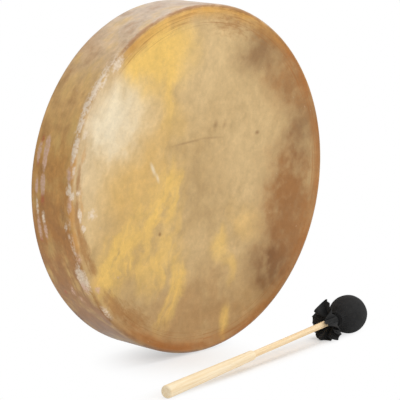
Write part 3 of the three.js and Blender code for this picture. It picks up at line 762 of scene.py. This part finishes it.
for rows, whole, cover in ((STAINS_AND_PAINTED_LIGHT, 1.0, STAINS_AND_LIGHT_COVER), (WEAR_AND_HIGHLIGHTS, broken, specks)):
    for turned_left, past, long, wide, colour, amount in rows:
        middle = (-math.radians(turned_left) * rim_radius, past * MM, rim_radius + min(past, 0) * MM)
        size = (long * MM, wide * MM, FLANGE_CLEAR if past > 0 else 1.0)
        patch = round_patch(node, on_rim, middle, size)
        patch = node("Math", TIMES, {0: patch, 1: whole})
        patch = node("Math", TIMES_PLUS, {0: patch, 1: amount, 2: flecks})
        share = node("MapRange", SOFTLY, {"Value": patch, **span(*WEAR_EDGE)})
        share = node("Math", TIMES, {0: share, 1: cover})
        tone = node("Mix", COLOURS, {"Factor": share, "A": tone, "B": colour})

# Grain of the hide all over: soft mottling, fibres and small dark pores.
grains = node("TexNoise", {}, {"Vector": spot, "Scale": 1 / GRAIN_SPOT, "Detail": 4.0})
fibres = node("TexNoise", {}, {"Vector": spot, "Scale": 1 / FIBRE, "Detail": 3.0, "Distortion": 1.5})
cells = node("TexVoronoi", {}, {"Vector": spot, "Scale": 1 / PORE})
pores = node("MapRange", {}, {"Value": cells, **span(0.05, 0.2), "To Min": 0.16, "To Max": 0.0})
tone = node("Mix", COLOURS, {"Factor": pores, "A": tone, "B": DARK_UMBER})
for pattern, spread in ((wisps, 0.06), (mottle, 0.04), (grains, 0.05), (fibres, 0.05)):
    shade = node(
        "MapRange", {}, {"Value": pattern, **span(0.3, 0.7), "To Min": 1 - spread, "To Max": 1 + spread}
    )
    tone = node("VectorMath", {"operation": "SCALE"}, {0: tone, "Scale": shade})
rough = node("MapRange", {}, {"Value": mottle, "To Min": 0.38, "To Max": 0.58})
coarse = node("Bump", {}, {"Height": mottle, "Strength": 0.2, "Distance": 0.4 * MM})
relief = node("Bump", {}, {"Height": fibres, "Strength": 0.3, "Distance": 0.12 * MM, "Normal": coarse})
varnish = {"Specular IOR Level": 0.3, "Coat Weight": 0.06, "Coat Roughness": 0.22}
end_material(node, {"Base Color": tone, "Roughness": rough, "Normal": relief, **varnish})
dress(skin, rawhide, "drum", "drum_head")


# Ring: a welded steel ring behind the middle of the skin, in the plane of its turned-over edge.
# Every lace passes round it, so that all of them pull against each other there.
RING_RADIUS = 21 * MM  # to the middle of the wire
RING_WIRE = 5 * MM
RING_STEPS = 120
WIRE_SIDES = 24
WELD_WIDTH = 2.6 * MM
WELD_HEIGHT = 0.5 * MM
WELD_RIPPLES = (0.3, 9)  # height and closeness
WELD_ANGLE = math.radians(70)

lace_depth = rim_half - SKIN / 2
ring_rings = []
for angle in full_turn(RING_STEPS):
    from_weld = math.remainder(angle - WELD_ANGLE, 2 * math.pi) * RING_RADIUS / WELD_WIDTH
    ripples = 1 + WELD_RIPPLES[0] * math.sin(WELD_RIPPLES[1] * from_weld)
    wire = RING_WIRE / 2 + WELD_HEIGHT * math.exp(-(from_weld**2)) * ripples
    section = []
    for a in full_turn(WIRE_SIDES):
        section.append(on_drum(RING_RADIUS + wire * math.cos(a), angle, lace_depth + wire * math.sin(a)))
    ring_rings.append(section)
ring = loft("lacing_ring", ring_rings, loop=True)

# Steel wire, bent, welded and left bare: grey with fine draw lines and brownish spots of old rust.
RUST_SPOT = 5 * MM
DRAW_LINE = 0.5 * MM
steel, node, place = start_material("bare_steel_wire")
spots = node("TexNoise", {}, {"Vector": place, "Scale": 1 / RUST_SPOT, "Detail": 5.0})
rust = node("MapRange", {}, {"Value": spots, **span(0.56, 0.7), "To Max": 0.7})
lines = node("TexNoise", {}, {"Vector": place, "Scale": 1 / DRAW_LINE, "Detail": 2.0})
tone = node("Mix", COLOURS, {"Factor": rust, "A": linear("#b4b5b6"), "B": linear("#6d5138")})
rough = node("MapRange", {}, {"Value": spots, "To Min": 0.24, "To Max": 0.6})
relief = node("Bump", {}, {"Height": lines, "Strength": 0.15, "Distance": 0.05 * MM})
end_material(node, {"Base Color": tone, "Metallic": 1.0, "Roughness": rough, "Normal": relief})
dress(ring, steel, "drum", "centre_ring")


# Laces: one long rawhide lace for each arm of the cross, twisted, threaded wet and left to dry tight.
# It goes out to four holes on the skin's side of the bundle, and home on the open side to the ring.
LACE = 2.8 * MM
TURN_GAP = 0.6 * MM
ARM_NAMES = ("right", "top", "left", "bottom")
HOLES_PER_ARM = HOLE_COUNT // len(ARM_NAMES)
RING_PLAY = 1.05 * MM
LOOP_GAP = 0.87 * MM
BUNDLE_LEAD = 4 * MM
TAIL_LENGTH = 30 * MM
STRIP_WIDTH = 5 * MM
WRAP_TURNS = 8
LOOP_STEPS = 14
LACE_STEP = 1.4 * MM
LACE_TWIST = 34 * MM  # length of one turn
LACE_SIDES = 10
LACE_FLAT = 0.74  # thickness of the lace as a share of its width
LACE_SWELL = 0.07
SWELL_LENGTH = 6 * MM
CORNER_CUTS = 2  # rounds of cutting the route's corners

strand_pitch = LACE + TURN_GAP
strands = HOLES_PER_ARM + 2
layer = strand_pitch / 2
bundle_start = RING_RADIUS + RING_WIRE / 2 + LACE + BUNDLE_LEAD
wrap_start = bundle_start + STRIP_WIDTH / 2
wrap_pitch = STRIP_WIDTH + TURN_GAP
bundle_end = wrap_start + WRAP_TURNS * wrap_pitch + STRIP_WIDTH / 2 + LACE


def strand_side(slot):
    return (slot - (strands - 1) / 2) * strand_pitch


def round_ring(slot):
    loop = RING_WIRE / 2 + RING_PLAY + LACE / 2
    spread = (LACE + LOOP_GAP) / (RING_RADIUS - loop)
    points = []
    for i in range(LOOP_STEPS + 1):
        turn = math.pi * i / LOOP_STEPS
        a = (slot + i / LOOP_STEPS - (strands - 1) / 2) * spread
        r = RING_RADIUS - loop * math.sin(turn)
        points.append(Vector((r * math.cos(a), loop * math.cos(turn), r * math.sin(a))))
    return points


def through_hole(hole):
    loop = SKIN / 2 + FIT + LACE / 2
    a = (hole - (HOLES_PER_ARM - 1) / 2) * hole_pitch
    x = HOLE_CIRCLE * math.cos(a)
    z = HOLE_CIRCLE * math.sin(a)
    heading = math.atan2(z - strand_side(hole + 1), x - bundle_end)
    points = []
    for i in range(LOOP_STEPS + 1):
        turn = math.pi * i / LOOP_STEPS
        past = loop * (math.sin(turn) - 1)
        across = x + past * math.cos(heading)
        up = z + past * math.sin(heading)
        points.append(Vector((across, -loop * math.cos(turn), up)))
    return points


def lace_route():
    tail_end = bundle_start + TAIL_LENGTH
    route = [Vector((tail_end, layer, strand_side(0))), Vector((bundle_start, layer, strand_side(0)))]
    for hole in range(HOLES_PER_ARM):
        side = strand_side(hole + 1)
        route += round_ring(hole)
        route += [Vector((bundle_start, -layer, side)), Vector((bundle_end, -layer, side))]
        route += through_hole(hole)
        route += [Vector((bundle_end, layer, side)), Vector((bundle_start, layer, side))]
    side = strand_side(strands - 1)
    route += round_ring(HOLES_PER_ARM)
    route += [Vector((bundle_start, -layer, side)), Vector((tail_end, -layer, side))]
    return route


def even_steps(route, step):
    for _ in range(CORNER_CUTS):
        cut = [route[0]]
        for a, b in zip(route, route[1:]):
            cut += [a.lerp(b, 0.25), a.lerp(b, 0.75)]
        route = cut + [route[-1]]
    points = [route[0]]
    left = step
    for a, b in zip(route, route[1:]):
        gone = 0.0
        length = (b - a).length
        while gone + left <= length:
            gone += left
            left = step
            points.append(a.lerp(b, gone / length))
        left -= length - gone
    return points


def cord_rings(route, section):
    rings = []
    across = None
    for i, p in enumerate(route):
        ahead = (route[min(i + 1, len(route) - 1)] - route[max(i - 1, 0)]).normalized()
        if across is None:
            across = ahead.orthogonal().normalized()
        across = (across - ahead * across.dot(ahead)).normalized()
        other = ahead.cross(across)
        rings.append([p + across * u + other * v for u, v in section(i)])
    return rings


def lace_section(seed):
    def section(i):
        twist = 2 * math.pi * i * LACE_STEP / LACE_TWIST + seed
        swell = 1 + LACE_SWELL * noise.noise(Vector((i * LACE_STEP / SWELL_LENGTH, seed, 0)))
        points = []
        for a in full_turn(LACE_SIDES):
            u = swell * LACE / 2 * math.cos(a)
            v = swell * LACE / 2 * LACE_FLAT * math.sin(a)
            across = u * math.cos(twist) - v * math.sin(twist)
            points.append((across, u * math.sin(twist) + v * math.cos(twist)))
        return points

    return section


def on_arm(arm, point):
    turn = Matrix.Rotation(-2 * math.pi * arm / len(ARM_NAMES), 4, "Y")
    return drum_middle + turn @ (point + Vector((0, lace_depth, 0)))


# Rawhide lace, cut in a spiral from a scraped hide: honey-coloured and half clear, smoother on its edges.
LACE_MOTTLE = 9 * MM
LACE_FIBRE = 0.9 * MM
lace_hide, node, place = start_material("rawhide_lace")
mottle = node("TexNoise", {}, {"Vector": place, "Scale": 1 / LACE_MOTTLE, "Detail": 4.0})
fibres = node("TexNoise", {}, {"Vector": place, "Scale": 1 / LACE_FIBRE, "Detail": 2.0})
mottled = node("MapRange", {}, {"Value": mottle, **span(0.3, 0.7)})
tone = node("Mix", COLOURS, {"Factor": mottled, "A": linear("#b98d4f"), "B": linear("#e0c48f")})
rough = node("MapRange", {}, {"Value": fibres, "To Min": 0.38, "To Max": 0.6})
relief = node("Bump", {}, {"Height": fibres, "Strength": 0.5, "Distance": 0.12 * MM})
end_material(node, {"Base Color": tone, "Roughness": rough, "Normal": relief, "IOR": 1.5})

lace_points = even_steps(lace_route(), LACE_STEP)
for arm, name in enumerate(ARM_NAMES):
    placed = [on_arm(arm, p) for p in lace_points]
    lace = loft(f"lacing_{name}", cord_rings(placed, lace_section(arm)))
    dress(lace, lace_hide, "drum", f"lace_{name}")


# Grip wraps: a strip of soft brown leather wound round each bundle of laces, from the ring outwards.
# The four of them make the cross that the hand holds, and each strip's ends are tucked under its own turns.
STRIP_THICKNESS = 1.6 * MM
WRAP_PLAY = 0.75 * MM
WRAP_STEPS = 56  # to a turn
STRIP_ROUND = 0.55 * MM
STRIP_STEPS = 3
TUCK = 0.5 * MM
TUCK_TURNS = 0.5
WRAP_UNEVEN = 0.25 * MM
WRAP_PACE = 1.7
ARM_SEED = 7
wrap_radius = layer + LACE / 2 + WRAP_PLAY + STRIP_THICKNESS / 2
wrap_flat = strand_side(strands - 1) - LACE / 2 + FIT
strip_up = STRIP_THICKNESS / 2 - STRIP_ROUND
strip_along = STRIP_WIDTH / 2 - STRIP_ROUND
strip_corners = []
for start, o, l in ((0, 1, 1), (90, -1, 1), (180, -1, -1), (270, 1, -1)):
    strip_corners += corner(o * strip_up, l * strip_along, STRIP_ROUND, start, STRIP_STEPS)


def wrap_rings(arm):
    lap = 4 * wrap_flat + 2 * math.pi * wrap_radius
    rings = []
    for i in range(WRAP_TURNS * WRAP_STEPS + 1):
        turns = i / WRAP_STEPS
        run = (turns % 1) * lap
        half = lap / 2
        end = 1 if run < half else -1
        run %= half
        a = min(max(run - wrap_flat, 0) / wrap_radius, math.pi) - math.pi / 2
        slide = end * min(run, wrap_flat, half - run)
        out = Vector((0, end * math.sin(a), end * math.cos(a)))
        tucked = TUCK * (1 - min(turns, WRAP_TURNS - turns, TUCK_TURNS) / TUCK_TURNS)
        uneven = WRAP_UNEVEN * noise.noise(Vector((arm * ARM_SEED, turns * WRAP_PACE, 0)))
        middle = Vector((wrap_start + turns * wrap_pitch + uneven, 0, slide)) + out * (wrap_radius - tucked)
        rings.append([on_arm(arm, middle + out * o + Vector((l, 0, 0))) for o, l in strip_corners])
    return rings


# Vegetable-tanned leather, cut to a strip: dark brown, pebbled, with a dull polish where hands rubbed it.
PEBBLE = 1.1 * MM
RUBBED = 8 * MM
leather, node, place = start_material("brown_leather")
pebbles = node("TexVoronoi", {}, {"Vector": place, "Scale": 1 / PEBBLE})
worn = node("TexNoise", {}, {"Vector": place, "Scale": 1 / RUBBED, "Detail": 4.0})
spread = node("MapRange", {}, {"Value": worn, **span(0.3, 0.7)})
tone = node("Mix", COLOURS, {"Factor": spread, "A": linear("#4a2d19"), "B": linear("#7a5232")})
crease = node("MapRange", {}, {"Value": pebbles, **span(0.35, 0.75), "To Min": 0, "To Max": 0.5})
tone = node("Mix", COLOURS, {"Factor": crease, "A": tone, "B": linear("#2f1b0e")})
rough = node("MapRange", {}, {"Value": worn, "To Min": 0.72, "To Max": 0.48})
relief = node("Bump", {"invert": True}, {"Height": pebbles, "Strength": 0.55, "Distance": 0.2 * MM})
end_material(node, {"Base Color": tone, "Roughness": rough, "Normal": relief})
for arm, name in enumerate(ARM_NAMES):
    wrap = loft(f"wrap_{name}", wrap_rings(arm))
    dress(wrap, leather, "drum", f"grip_wrap_{name}")


# Beater's grip: turned from pale wood, thickest at the butt and narrowing evenly towards the shaft.
# It is bored at its front end, where the shaft is glued in.
GRIP_RADIUS = 7.3 * MM
GRIP_TIP = 5.6 * MM
GRIP_LENGTH = 157 * MM
GRIP_TAPER = 137 * MM
GRIP_ROUND = 2.5 * MM
TIP_ROUND = 1.5 * MM
SHAFT_RADIUS = 3.7 * MM
SHAFT_SEAT = 40 * MM
BALL_RADIUS = 23 * MM
BALL_REACH = 350.5 * MM  # from the butt end to the ball's centre
FLOOR_GAP = 0.1 * MM
GLUE = 0.1 * MM
BUTT = Vector((-166.4 * MM, -145.3 * MM, GRIP_RADIUS + FLOOR_GAP))
BEATER_YAW = math.radians(8.16)
TURNING = 0.07 * MM  # unevenness left by the lathe
STICK_SIDES = 64
BUTT_ROWS = 6
STRAIGHT_ROWS = 3
TAPER_ROWS = 24

beater_rise = math.asin((BALL_RADIUS - GRIP_RADIUS) / BALL_REACH)
beater_turn = Matrix.Rotation(BEATER_YAW, 4, "Z") @ Matrix.Rotation(-beater_rise, 4, "Y")
beater_place = Matrix.Translation(BUTT) @ beater_turn
bore_radius = SHAFT_RADIUS + GLUE
shaft_start = GRIP_LENGTH - SHAFT_SEAT

grip_profile = [(x, r) for r, x in corner(GRIP_RADIUS - GRIP_ROUND, GRIP_ROUND, GRIP_ROUND, -90, BUTT_ROWS)]
grip_profile += [(x, GRIP_RADIUS) for x in stretch(GRIP_ROUND, GRIP_LENGTH - GRIP_TAPER, STRAIGHT_ROWS)]
for share in stretch(0, 1, TAPER_ROWS):
    x = GRIP_LENGTH - GRIP_TAPER + share * (GRIP_TAPER - TIP_ROUND)
    grip_profile.append((x, GRIP_RADIUS + (GRIP_TIP - GRIP_RADIUS) * share))
grip_tip = corner(GRIP_TIP - TIP_ROUND, GRIP_LENGTH - TIP_ROUND, TIP_ROUND, 0, CORNER_STEPS)
grip_profile += [(x, r) for r, x in grip_tip[1:]]
grip_profile += [(GRIP_LENGTH, bore_radius), (shaft_start, bore_radius)]
grip = turned("turned_grip", grip_profile, STICK_SIDES, TURNING, seed=3)
grip.matrix_world = beater_place


# Lime wood, turned and sanded: creamy, with faint long grain, a few brown flecks and no varnish.
def pale_wood(name, light, dark, grain_width):
    GRAIN_LENGTH = 70 * MM
    FLECK = (7 * MM, 0.5 * MM, 0.5 * MM)
    material, node, place = start_material(name)
    size = (GRAIN_LENGTH, grain_width, grain_width)
    grain = drawn_grain(node, place, size, {"Detail": 5.0, "Distortion": 0.8})
    spread = node("MapRange", {}, {"Value": grain, **span(0.3, 0.68)})
    tone = node("Mix", COLOURS, {"Factor": spread, "A": linear(light), "B": linear(dark)})
    flecks = drawn_grain(node, place, FLECK, {"Detail": 2.0})
    flecks = node("MapRange", {}, {"Value": flecks, **span(0.62, 0.8), "To Max": 0.35})
    tone = node("Mix", COLOURS, {"Factor": flecks, "A": tone, "B": linear("#c69b5e")})
    rough = node("MapRange", {}, {"Value": grain, "To Min": 0.5, "To Max": 0.7})
    relief = node("Bump", {}, {"Height": grain, "Strength": 0.25, "Distance": 0.15 * MM})
    end_material(node, {"Base Color": tone, "Roughness": rough, "Normal": relief})
    return material


lime_wood = pale_wood("sanded_lime_wood", "#fbecce", "#efd5a9", 2.2 * MM)
dress(grip, lime_wood, "beater", "beater_handle")


# Shaft: a thinner birch dowel, drawn through a die and cut to length, with its edges broken.
# It is glued into the grip's bore and runs into the felt ball, a little past the ball's centre.
SHAFT_END = BALL_REACH + 8 * MM
DOWEL_EDGE = 0.5 * MM
SHAFT_ROWS = 30
shaft_profile = [(shaft_start + FIT, SHAFT_RADIUS - DOWEL_EDGE)]
shaft_profile += [(x, SHAFT_RADIUS) for x in stretch(shaft_start + FIT, SHAFT_END - DOWEL_EDGE, SHAFT_ROWS)]
shaft_profile += [(SHAFT_END, SHAFT_RADIUS - DOWEL_EDGE)]
shaft = turned("dowel_shaft", shaft_profile, STICK_SIDES, TURNING / 2, seed=8)
shaft.matrix_world = beater_place
# Birch, sanded smooth: a shade warmer than the lime wood, with a finer grain.
birch = pale_wood("birch_dowel", "#fae6c2", "#ebca98", 1.4 * MM)
dress(shaft, birch, "beater", "beater_shaft")


# Pad: a ball of wound wool felt on the shaft's end, hidden by the cover that is drawn over it.
# It is a little lumpy and has a blind hole for the shaft.
PAD_RADIUS = 20.8 * MM
PAD_LUMP = 0.35 * MM
PAD_PACE = 0.6
PAD_STEPS = 36
PAD_SIDES = 72
pad_mouth = math.asin((SHAFT_RADIUS + FIT) / PAD_RADIUS)
pad_profile = [(SHAFT_END + FIT, SHAFT_RADIUS + FIT)]
for i in range(PAD_STEPS):
    t = math.pi - pad_mouth - (math.pi - pad_mouth) * i / PAD_STEPS
    lump = PAD_LUMP * (0.5 + 0.5 * noise.noise(Vector((i * PAD_PACE, 0, 5))))
    pad_profile.append((BALL_REACH + (PAD_RADIUS - lump) * math.cos(t), (PAD_RADIUS - lump) * math.sin(t)))
pad = turned("felt_pad", pad_profile, PAD_SIDES, PAD_LUMP / 2, seed=12)
pad.matrix_world = beater_place

# Wool felt, needled: pale grey, matted fibres with a soft nap.
FELT_FIBRE = 0.8 * MM
felt, node, place = start_material("wool_felt")
fibres = node(
    "TexNoise", {}, {"Vector": place, "Scale": 1 / FELT_FIBRE, "Detail": 5.0, "Distortion": 2.0}
)
tone = node("Mix", COLOURS, {"Factor": fibres, "A": linear("#a59d8d"), "B": linear("#d6cfc1")})
relief = node("Bump", {}, {"Height": fibres, "Strength": 0.8, "Distance": 0.4 * MM})
end_material(node, {"Base Color": tone, "Roughness": 0.95, "Normal": relief, "Sheen Weight": 0.3})
dress(pad, felt, "beater", "beater_core")


# Cover: a round cut of black cotton jersey, drawn over the pad, gathered on the shaft and tied there.
# What is left past the tie is a ragged frill, which lies along the stick on one side and on the floor below.
CLOTH = 0.9 * MM
NECK_RADIUS = 7.0 * MM
NECK_START = BALL_REACH - 24 * MM
NECK_END = NECK_START - 8 * MM
NECK_LEAD = 5 * MM  # straight on from the ball
NECK_EASE = (3 * MM, 2 * MM)  # before the neck's start and past it
FRILL_LEAD = 7 * MM  # along the stick before the frill turns outwards
FRILL_LENGTH = 9 * MM
FRILL_RADIUS = 22.6 * MM
LYING = (math.radians(155), 2.5, -16 * MM, -15.6 * MM)  # turn, narrowness, shifts along and outwards
UPRIGHT = (math.radians(78), 12, 10.2 * MM, 4.3 * MM)
FLOOR_SIDE = (math.radians(288), 6, -5.9 * MM, 0.3 * MM)
BALL_SIDE = (math.radians(200), 16, 5.8 * MM, 6 * MM)
PLEATS = ((5, 0.3, 5.3), (9, 0.7, 2.4), (14, 0.5, 4.5))  # number round the frill, share of the depth, start
PLEAT_DEPTH = 5.4 * MM
PLEAT_BEND = 0.5 * MM  # least radius of a fold
PLEAT_CURL = 0.5  # how far each fold doubles back over its neighbour
PLEAT_OPENING = 0.85  # how soon the folds open
PLEAT_SWAY = 0.6
PLEAT_DRIFT = 1.4
DRIFT_SIZE = 1.4
DRIFT_START = 7.9
RAGGED = 0.22  # unevenness of the cut edge, as a share of the frill
RAGGED_SIZE = 2.6
RAGGED_START = 4.4
GATHERS = 24
GATHER_DEPTH = 0.9 * MM
GATHER_FROM = math.radians(108)  # from the ball's tip
BALL_GATHER = 0.45  # share of their depth where the ball ends
FLOOR_SPREAD = 0.3  # how far cloth pressed on the floor slides, as a share of its sinking
LUMP = 0.3 * MM
LUMP_PACE = 1.9
LUMP_SINK = 0.4
BALL_END = math.radians(136)
BALL_ROWS = 34
NECK_ROWS = 9
FRILL_ROWS = 26
COVER_SIDES = 288


def weight(turn, middle, narrow):
    return ((1 + math.cos(turn - middle)) / 2) ** narrow


def ball_point(row, turn):
    t = BALL_END * row / BALL_ROWS
    tucked = BALL_GATHER * GATHER_DEPTH * smooth((t - GATHER_FROM) / (BALL_END - GATHER_FROM))
    around = Vector((math.cos(t), math.sin(t) * math.cos(turn), math.sin(t) * math.sin(turn)))
    lump = LUMP * (noise.noise(around * LUMP_PACE) - LUMP_SINK)
    radius = BALL_RADIUS - CLOTH / 2 + lump - tucked * (1 + math.cos(GATHERS * turn)) / 2
    return Vector((BALL_REACH, 0, 0)) + radius * around


def neck_point(share, turn):
    x = BALL_REACH + (BALL_RADIUS - CLOTH / 2) * math.cos(BALL_END)
    r = (BALL_RADIUS - CLOTH / 2) * math.sin(BALL_END)
    ahead = Vector((-math.sin(BALL_END), math.cos(BALL_END))) * NECK_LEAD
    line = [Vector((x, r)), Vector((x, r)) + ahead, Vector((NECK_START + NECK_EASE[0], NECK_RADIUS))]
    line.append(Vector((NECK_START - NECK_EASE[1], NECK_RADIUS)))
    while len(line) > 1:
        line = [a.lerp(b, share) for a, b in zip(line, line[1:])]
    tucked = GATHER_DEPTH * (BALL_GATHER + (1 - BALL_GATHER) * share)
    radius = line[0].y - tucked * (1 + math.cos(GATHERS * turn)) / 2
    return Vector((line[0].x, radius * math.cos(turn), radius * math.sin(turn)))


def frill_point(share, turn):
    spot = Vector((math.cos(turn), math.sin(turn), 0))
    rim = Vector((NECK_END - FRILL_LENGTH, FRILL_RADIUS))
    for middle, narrow, along, outward in (LYING, UPRIGHT, FLOOR_SIDE, BALL_SIDE):
        rim += Vector((along, outward)) * weight(turn, middle, narrow)
    tied = Vector((NECK_END, NECK_RADIUS))
    turning = Vector((NECK_END - FRILL_LEAD, NECK_RADIUS))
    gone = share * (1 + RAGGED * noise.noise(spot * RAGGED_SIZE + Vector((0, 0, RAGGED_START))))
    place = tied.lerp(turning, gone).lerp(turning.lerp(rim, gone), gone)
    ahead = turning.lerp(rim, gone) - tied.lerp(turning, gone)
    out = Vector((ahead.y, -ahead.x)).normalized()
    drift = PLEAT_DRIFT * noise.noise(spot * DRIFT_SIZE + Vector((0, 0, share + DRIFT_START)))
    drift += PLEAT_SWAY * math.sin(2 * turn)
    most, _, main_start = PLEATS[1]
    wave = sum(part * math.cos(count * turn + start + drift * count / most) for count, part, start in PLEATS)
    depth = min(PLEAT_DEPTH * share**PLEAT_OPENING, place.y**2 / (most**2 * PLEAT_BEND))
    place += out * depth * wave
    place.y -= GATHER_DEPTH * (1 - share) * (1 + math.cos(GATHERS * turn)) / 2
    a = turn + PLEAT_CURL * share * math.sin(2 * (most * turn + main_start + drift)) / most
    return Vector((place.x, place.y * math.cos(a), place.y * math.sin(a)))


def pressed(point):
    floor = CLOTH / 2 + FIT
    placed = beater_place @ point
    sunk = 2 * floor - placed.z
    if sunk <= 0:
        return point
    placed.z = floor + floor * math.exp(-sunk / floor)
    placed.x -= FLOOR_SPREAD * sunk
    return beater_place.inverted() @ placed


cover_turns = full_turn(COVER_SIDES)
cover_grid = [[ball_point(i, t) for t in cover_turns] for i in range(1, BALL_ROWS + 1)]
cover_grid += [[neck_point(share, t) for t in cover_turns] for share in stretch(0, 1, NECK_ROWS)]
frill_shares = [0] + stretch(0, 1, FRILL_ROWS)
cover_grid += [[pressed(frill_point(share, t)) for t in cover_turns] for share in frill_shares]
cover_tip = Vector((BALL_REACH + BALL_RADIUS - CLOTH / 2, 0, 0))
cover_points = []
for side in (CLOTH / 2, -CLOTH / 2):
    cover_points.append(cover_tip + Vector((side, 0, 0)))
    for i, row in enumerate(cover_grid):
        before = cover_grid[i - 1] if i else [cover_tip] * COVER_SIDES
        after = cover_grid[min(i + 1, len(cover_grid) - 1)]
        for j, p in enumerate(row):
            around = row[(j + 1) % COVER_SIDES] - row[j - 1]
            cover_points.append(p + (after[j] - before[j]).cross(around).normalized() * side)
inside = len(cover_points) // 2
cover_faces = []
for j in range(COVER_SIDES):
    k = (j + 1) % COVER_SIDES
    for start in (0, inside):
        cover_faces.append((start, start + 1 + j, start + 1 + k))
        for i in range(len(cover_grid) - 1):
            near = start + 1 + i * COVER_SIDES
            far = near + COVER_SIDES
            cover_faces.append((near + j, far + j, far + k, near + k))
    edge = 1 + (len(cover_grid) - 1) * COVER_SIDES
    cover_faces.append((edge + j, inside + edge + j, inside + edge + k, edge + k))
cloth_cover = piece_from("jersey_cover", cover_points, cover_faces)
cloth_cover.matrix_world = beater_place

# Cotton jersey, dyed black: matt, with fine ribs and faded high spots, and next to no shine.
RIB = 0.7 * MM  # coarser than real stitches, which wouldn't show
FADE = 6 * MM
jersey, node, place = start_material("black_cotton_jersey")
ribs = node("TexVoronoi", {}, {"Vector": place, "Scale": 1 / RIB})
fade = node("TexNoise", {}, {"Vector": place, "Scale": 1 / FADE, "Detail": 5.0})
tone = node("Mix", COLOURS, {"Factor": fade, "A": linear("#232323"), "B": linear("#353535")})
relief = node("Bump", {"invert": True}, {"Height": ribs, "Strength": 0.5, "Distance": 0.25 * MM})
matt = {"Roughness": 0.95, "Specular IOR Level": 0.12, "Sheen Weight": 0.03}
end_material(node, {"Base Color": tone, "Normal": relief, **matt})
dress(cloth_cover, jersey, "beater", "beater_cloth")


# Tie: a black waxed cord, wound three times round the cover's neck and drawn tight.
# It is laid from three strands, which show as ridges that run round it.
TIE = 1.4 * MM
TIE_TURNS = 3
TIE_STEPS = 60
TIE_SIDES = 15
TIE_STRANDS = 3
TIE_LAY = 3.2 * MM  # length of one turn of the strands
STRAND_RIDGE = 0.14
TIED_RADIUS = 7.75 * MM  # outside of the gathered neck
tie_radius = TIED_RADIUS + FIT + TIE / 2
tie_pitch = TIE + TURN_GAP
tie_start = (NECK_START + NECK_END - TIE_TURNS * tie_pitch) / 2
tie_route = []
for i in range(TIE_TURNS * TIE_STEPS + 1):
    a = 2 * math.pi * i / TIE_STEPS
    x = tie_start + tie_pitch * i / TIE_STEPS
    tie_route.append(Vector((x, tie_radius * math.cos(a), tie_radius * math.sin(a))))


def tie_section(i):
    laid = 2 * math.pi * i * (2 * math.pi * tie_radius / TIE_STEPS) / TIE_LAY
    points = []
    for a in full_turn(TIE_SIDES):
        ridge = STRAND_RIDGE * (math.cos(TIE_STRANDS * (a - laid / TIE_STRANDS)) - 1)
        r = TIE / 2 * (1 + ridge)
        points.append((r * math.cos(a), r * math.sin(a)))
    return points


tie = loft("neck_tie", cord_rings(tie_route, tie_section))
tie.matrix_world = beater_place

# Waxed linen cord: black with a slight shine on its ridges.
YARN = 0.4 * MM
waxed, node, place = start_material("waxed_linen_cord")
yarn = node("TexNoise", {}, {"Vector": place, "Scale": 1 / YARN, "Detail": 3.0})
tone = node("Mix", COLOURS, {"Factor": yarn, "A": linear("#0c0c0c"), "B": linear("#1a1918")})
rough = node("MapRange", {}, {"Value": yarn, "To Min": 0.55, "To Max": 0.8})
relief = node("Bump", {}, {"Height": yarn, "Strength": 0.4, "Distance": 0.1 * MM})
end_material(node, {"Base Color": tone, "Roughness": rough, "Normal": relief, "Specular IOR Level": 0.2})
dress(tie, waxed, "beater", "beater_tie")
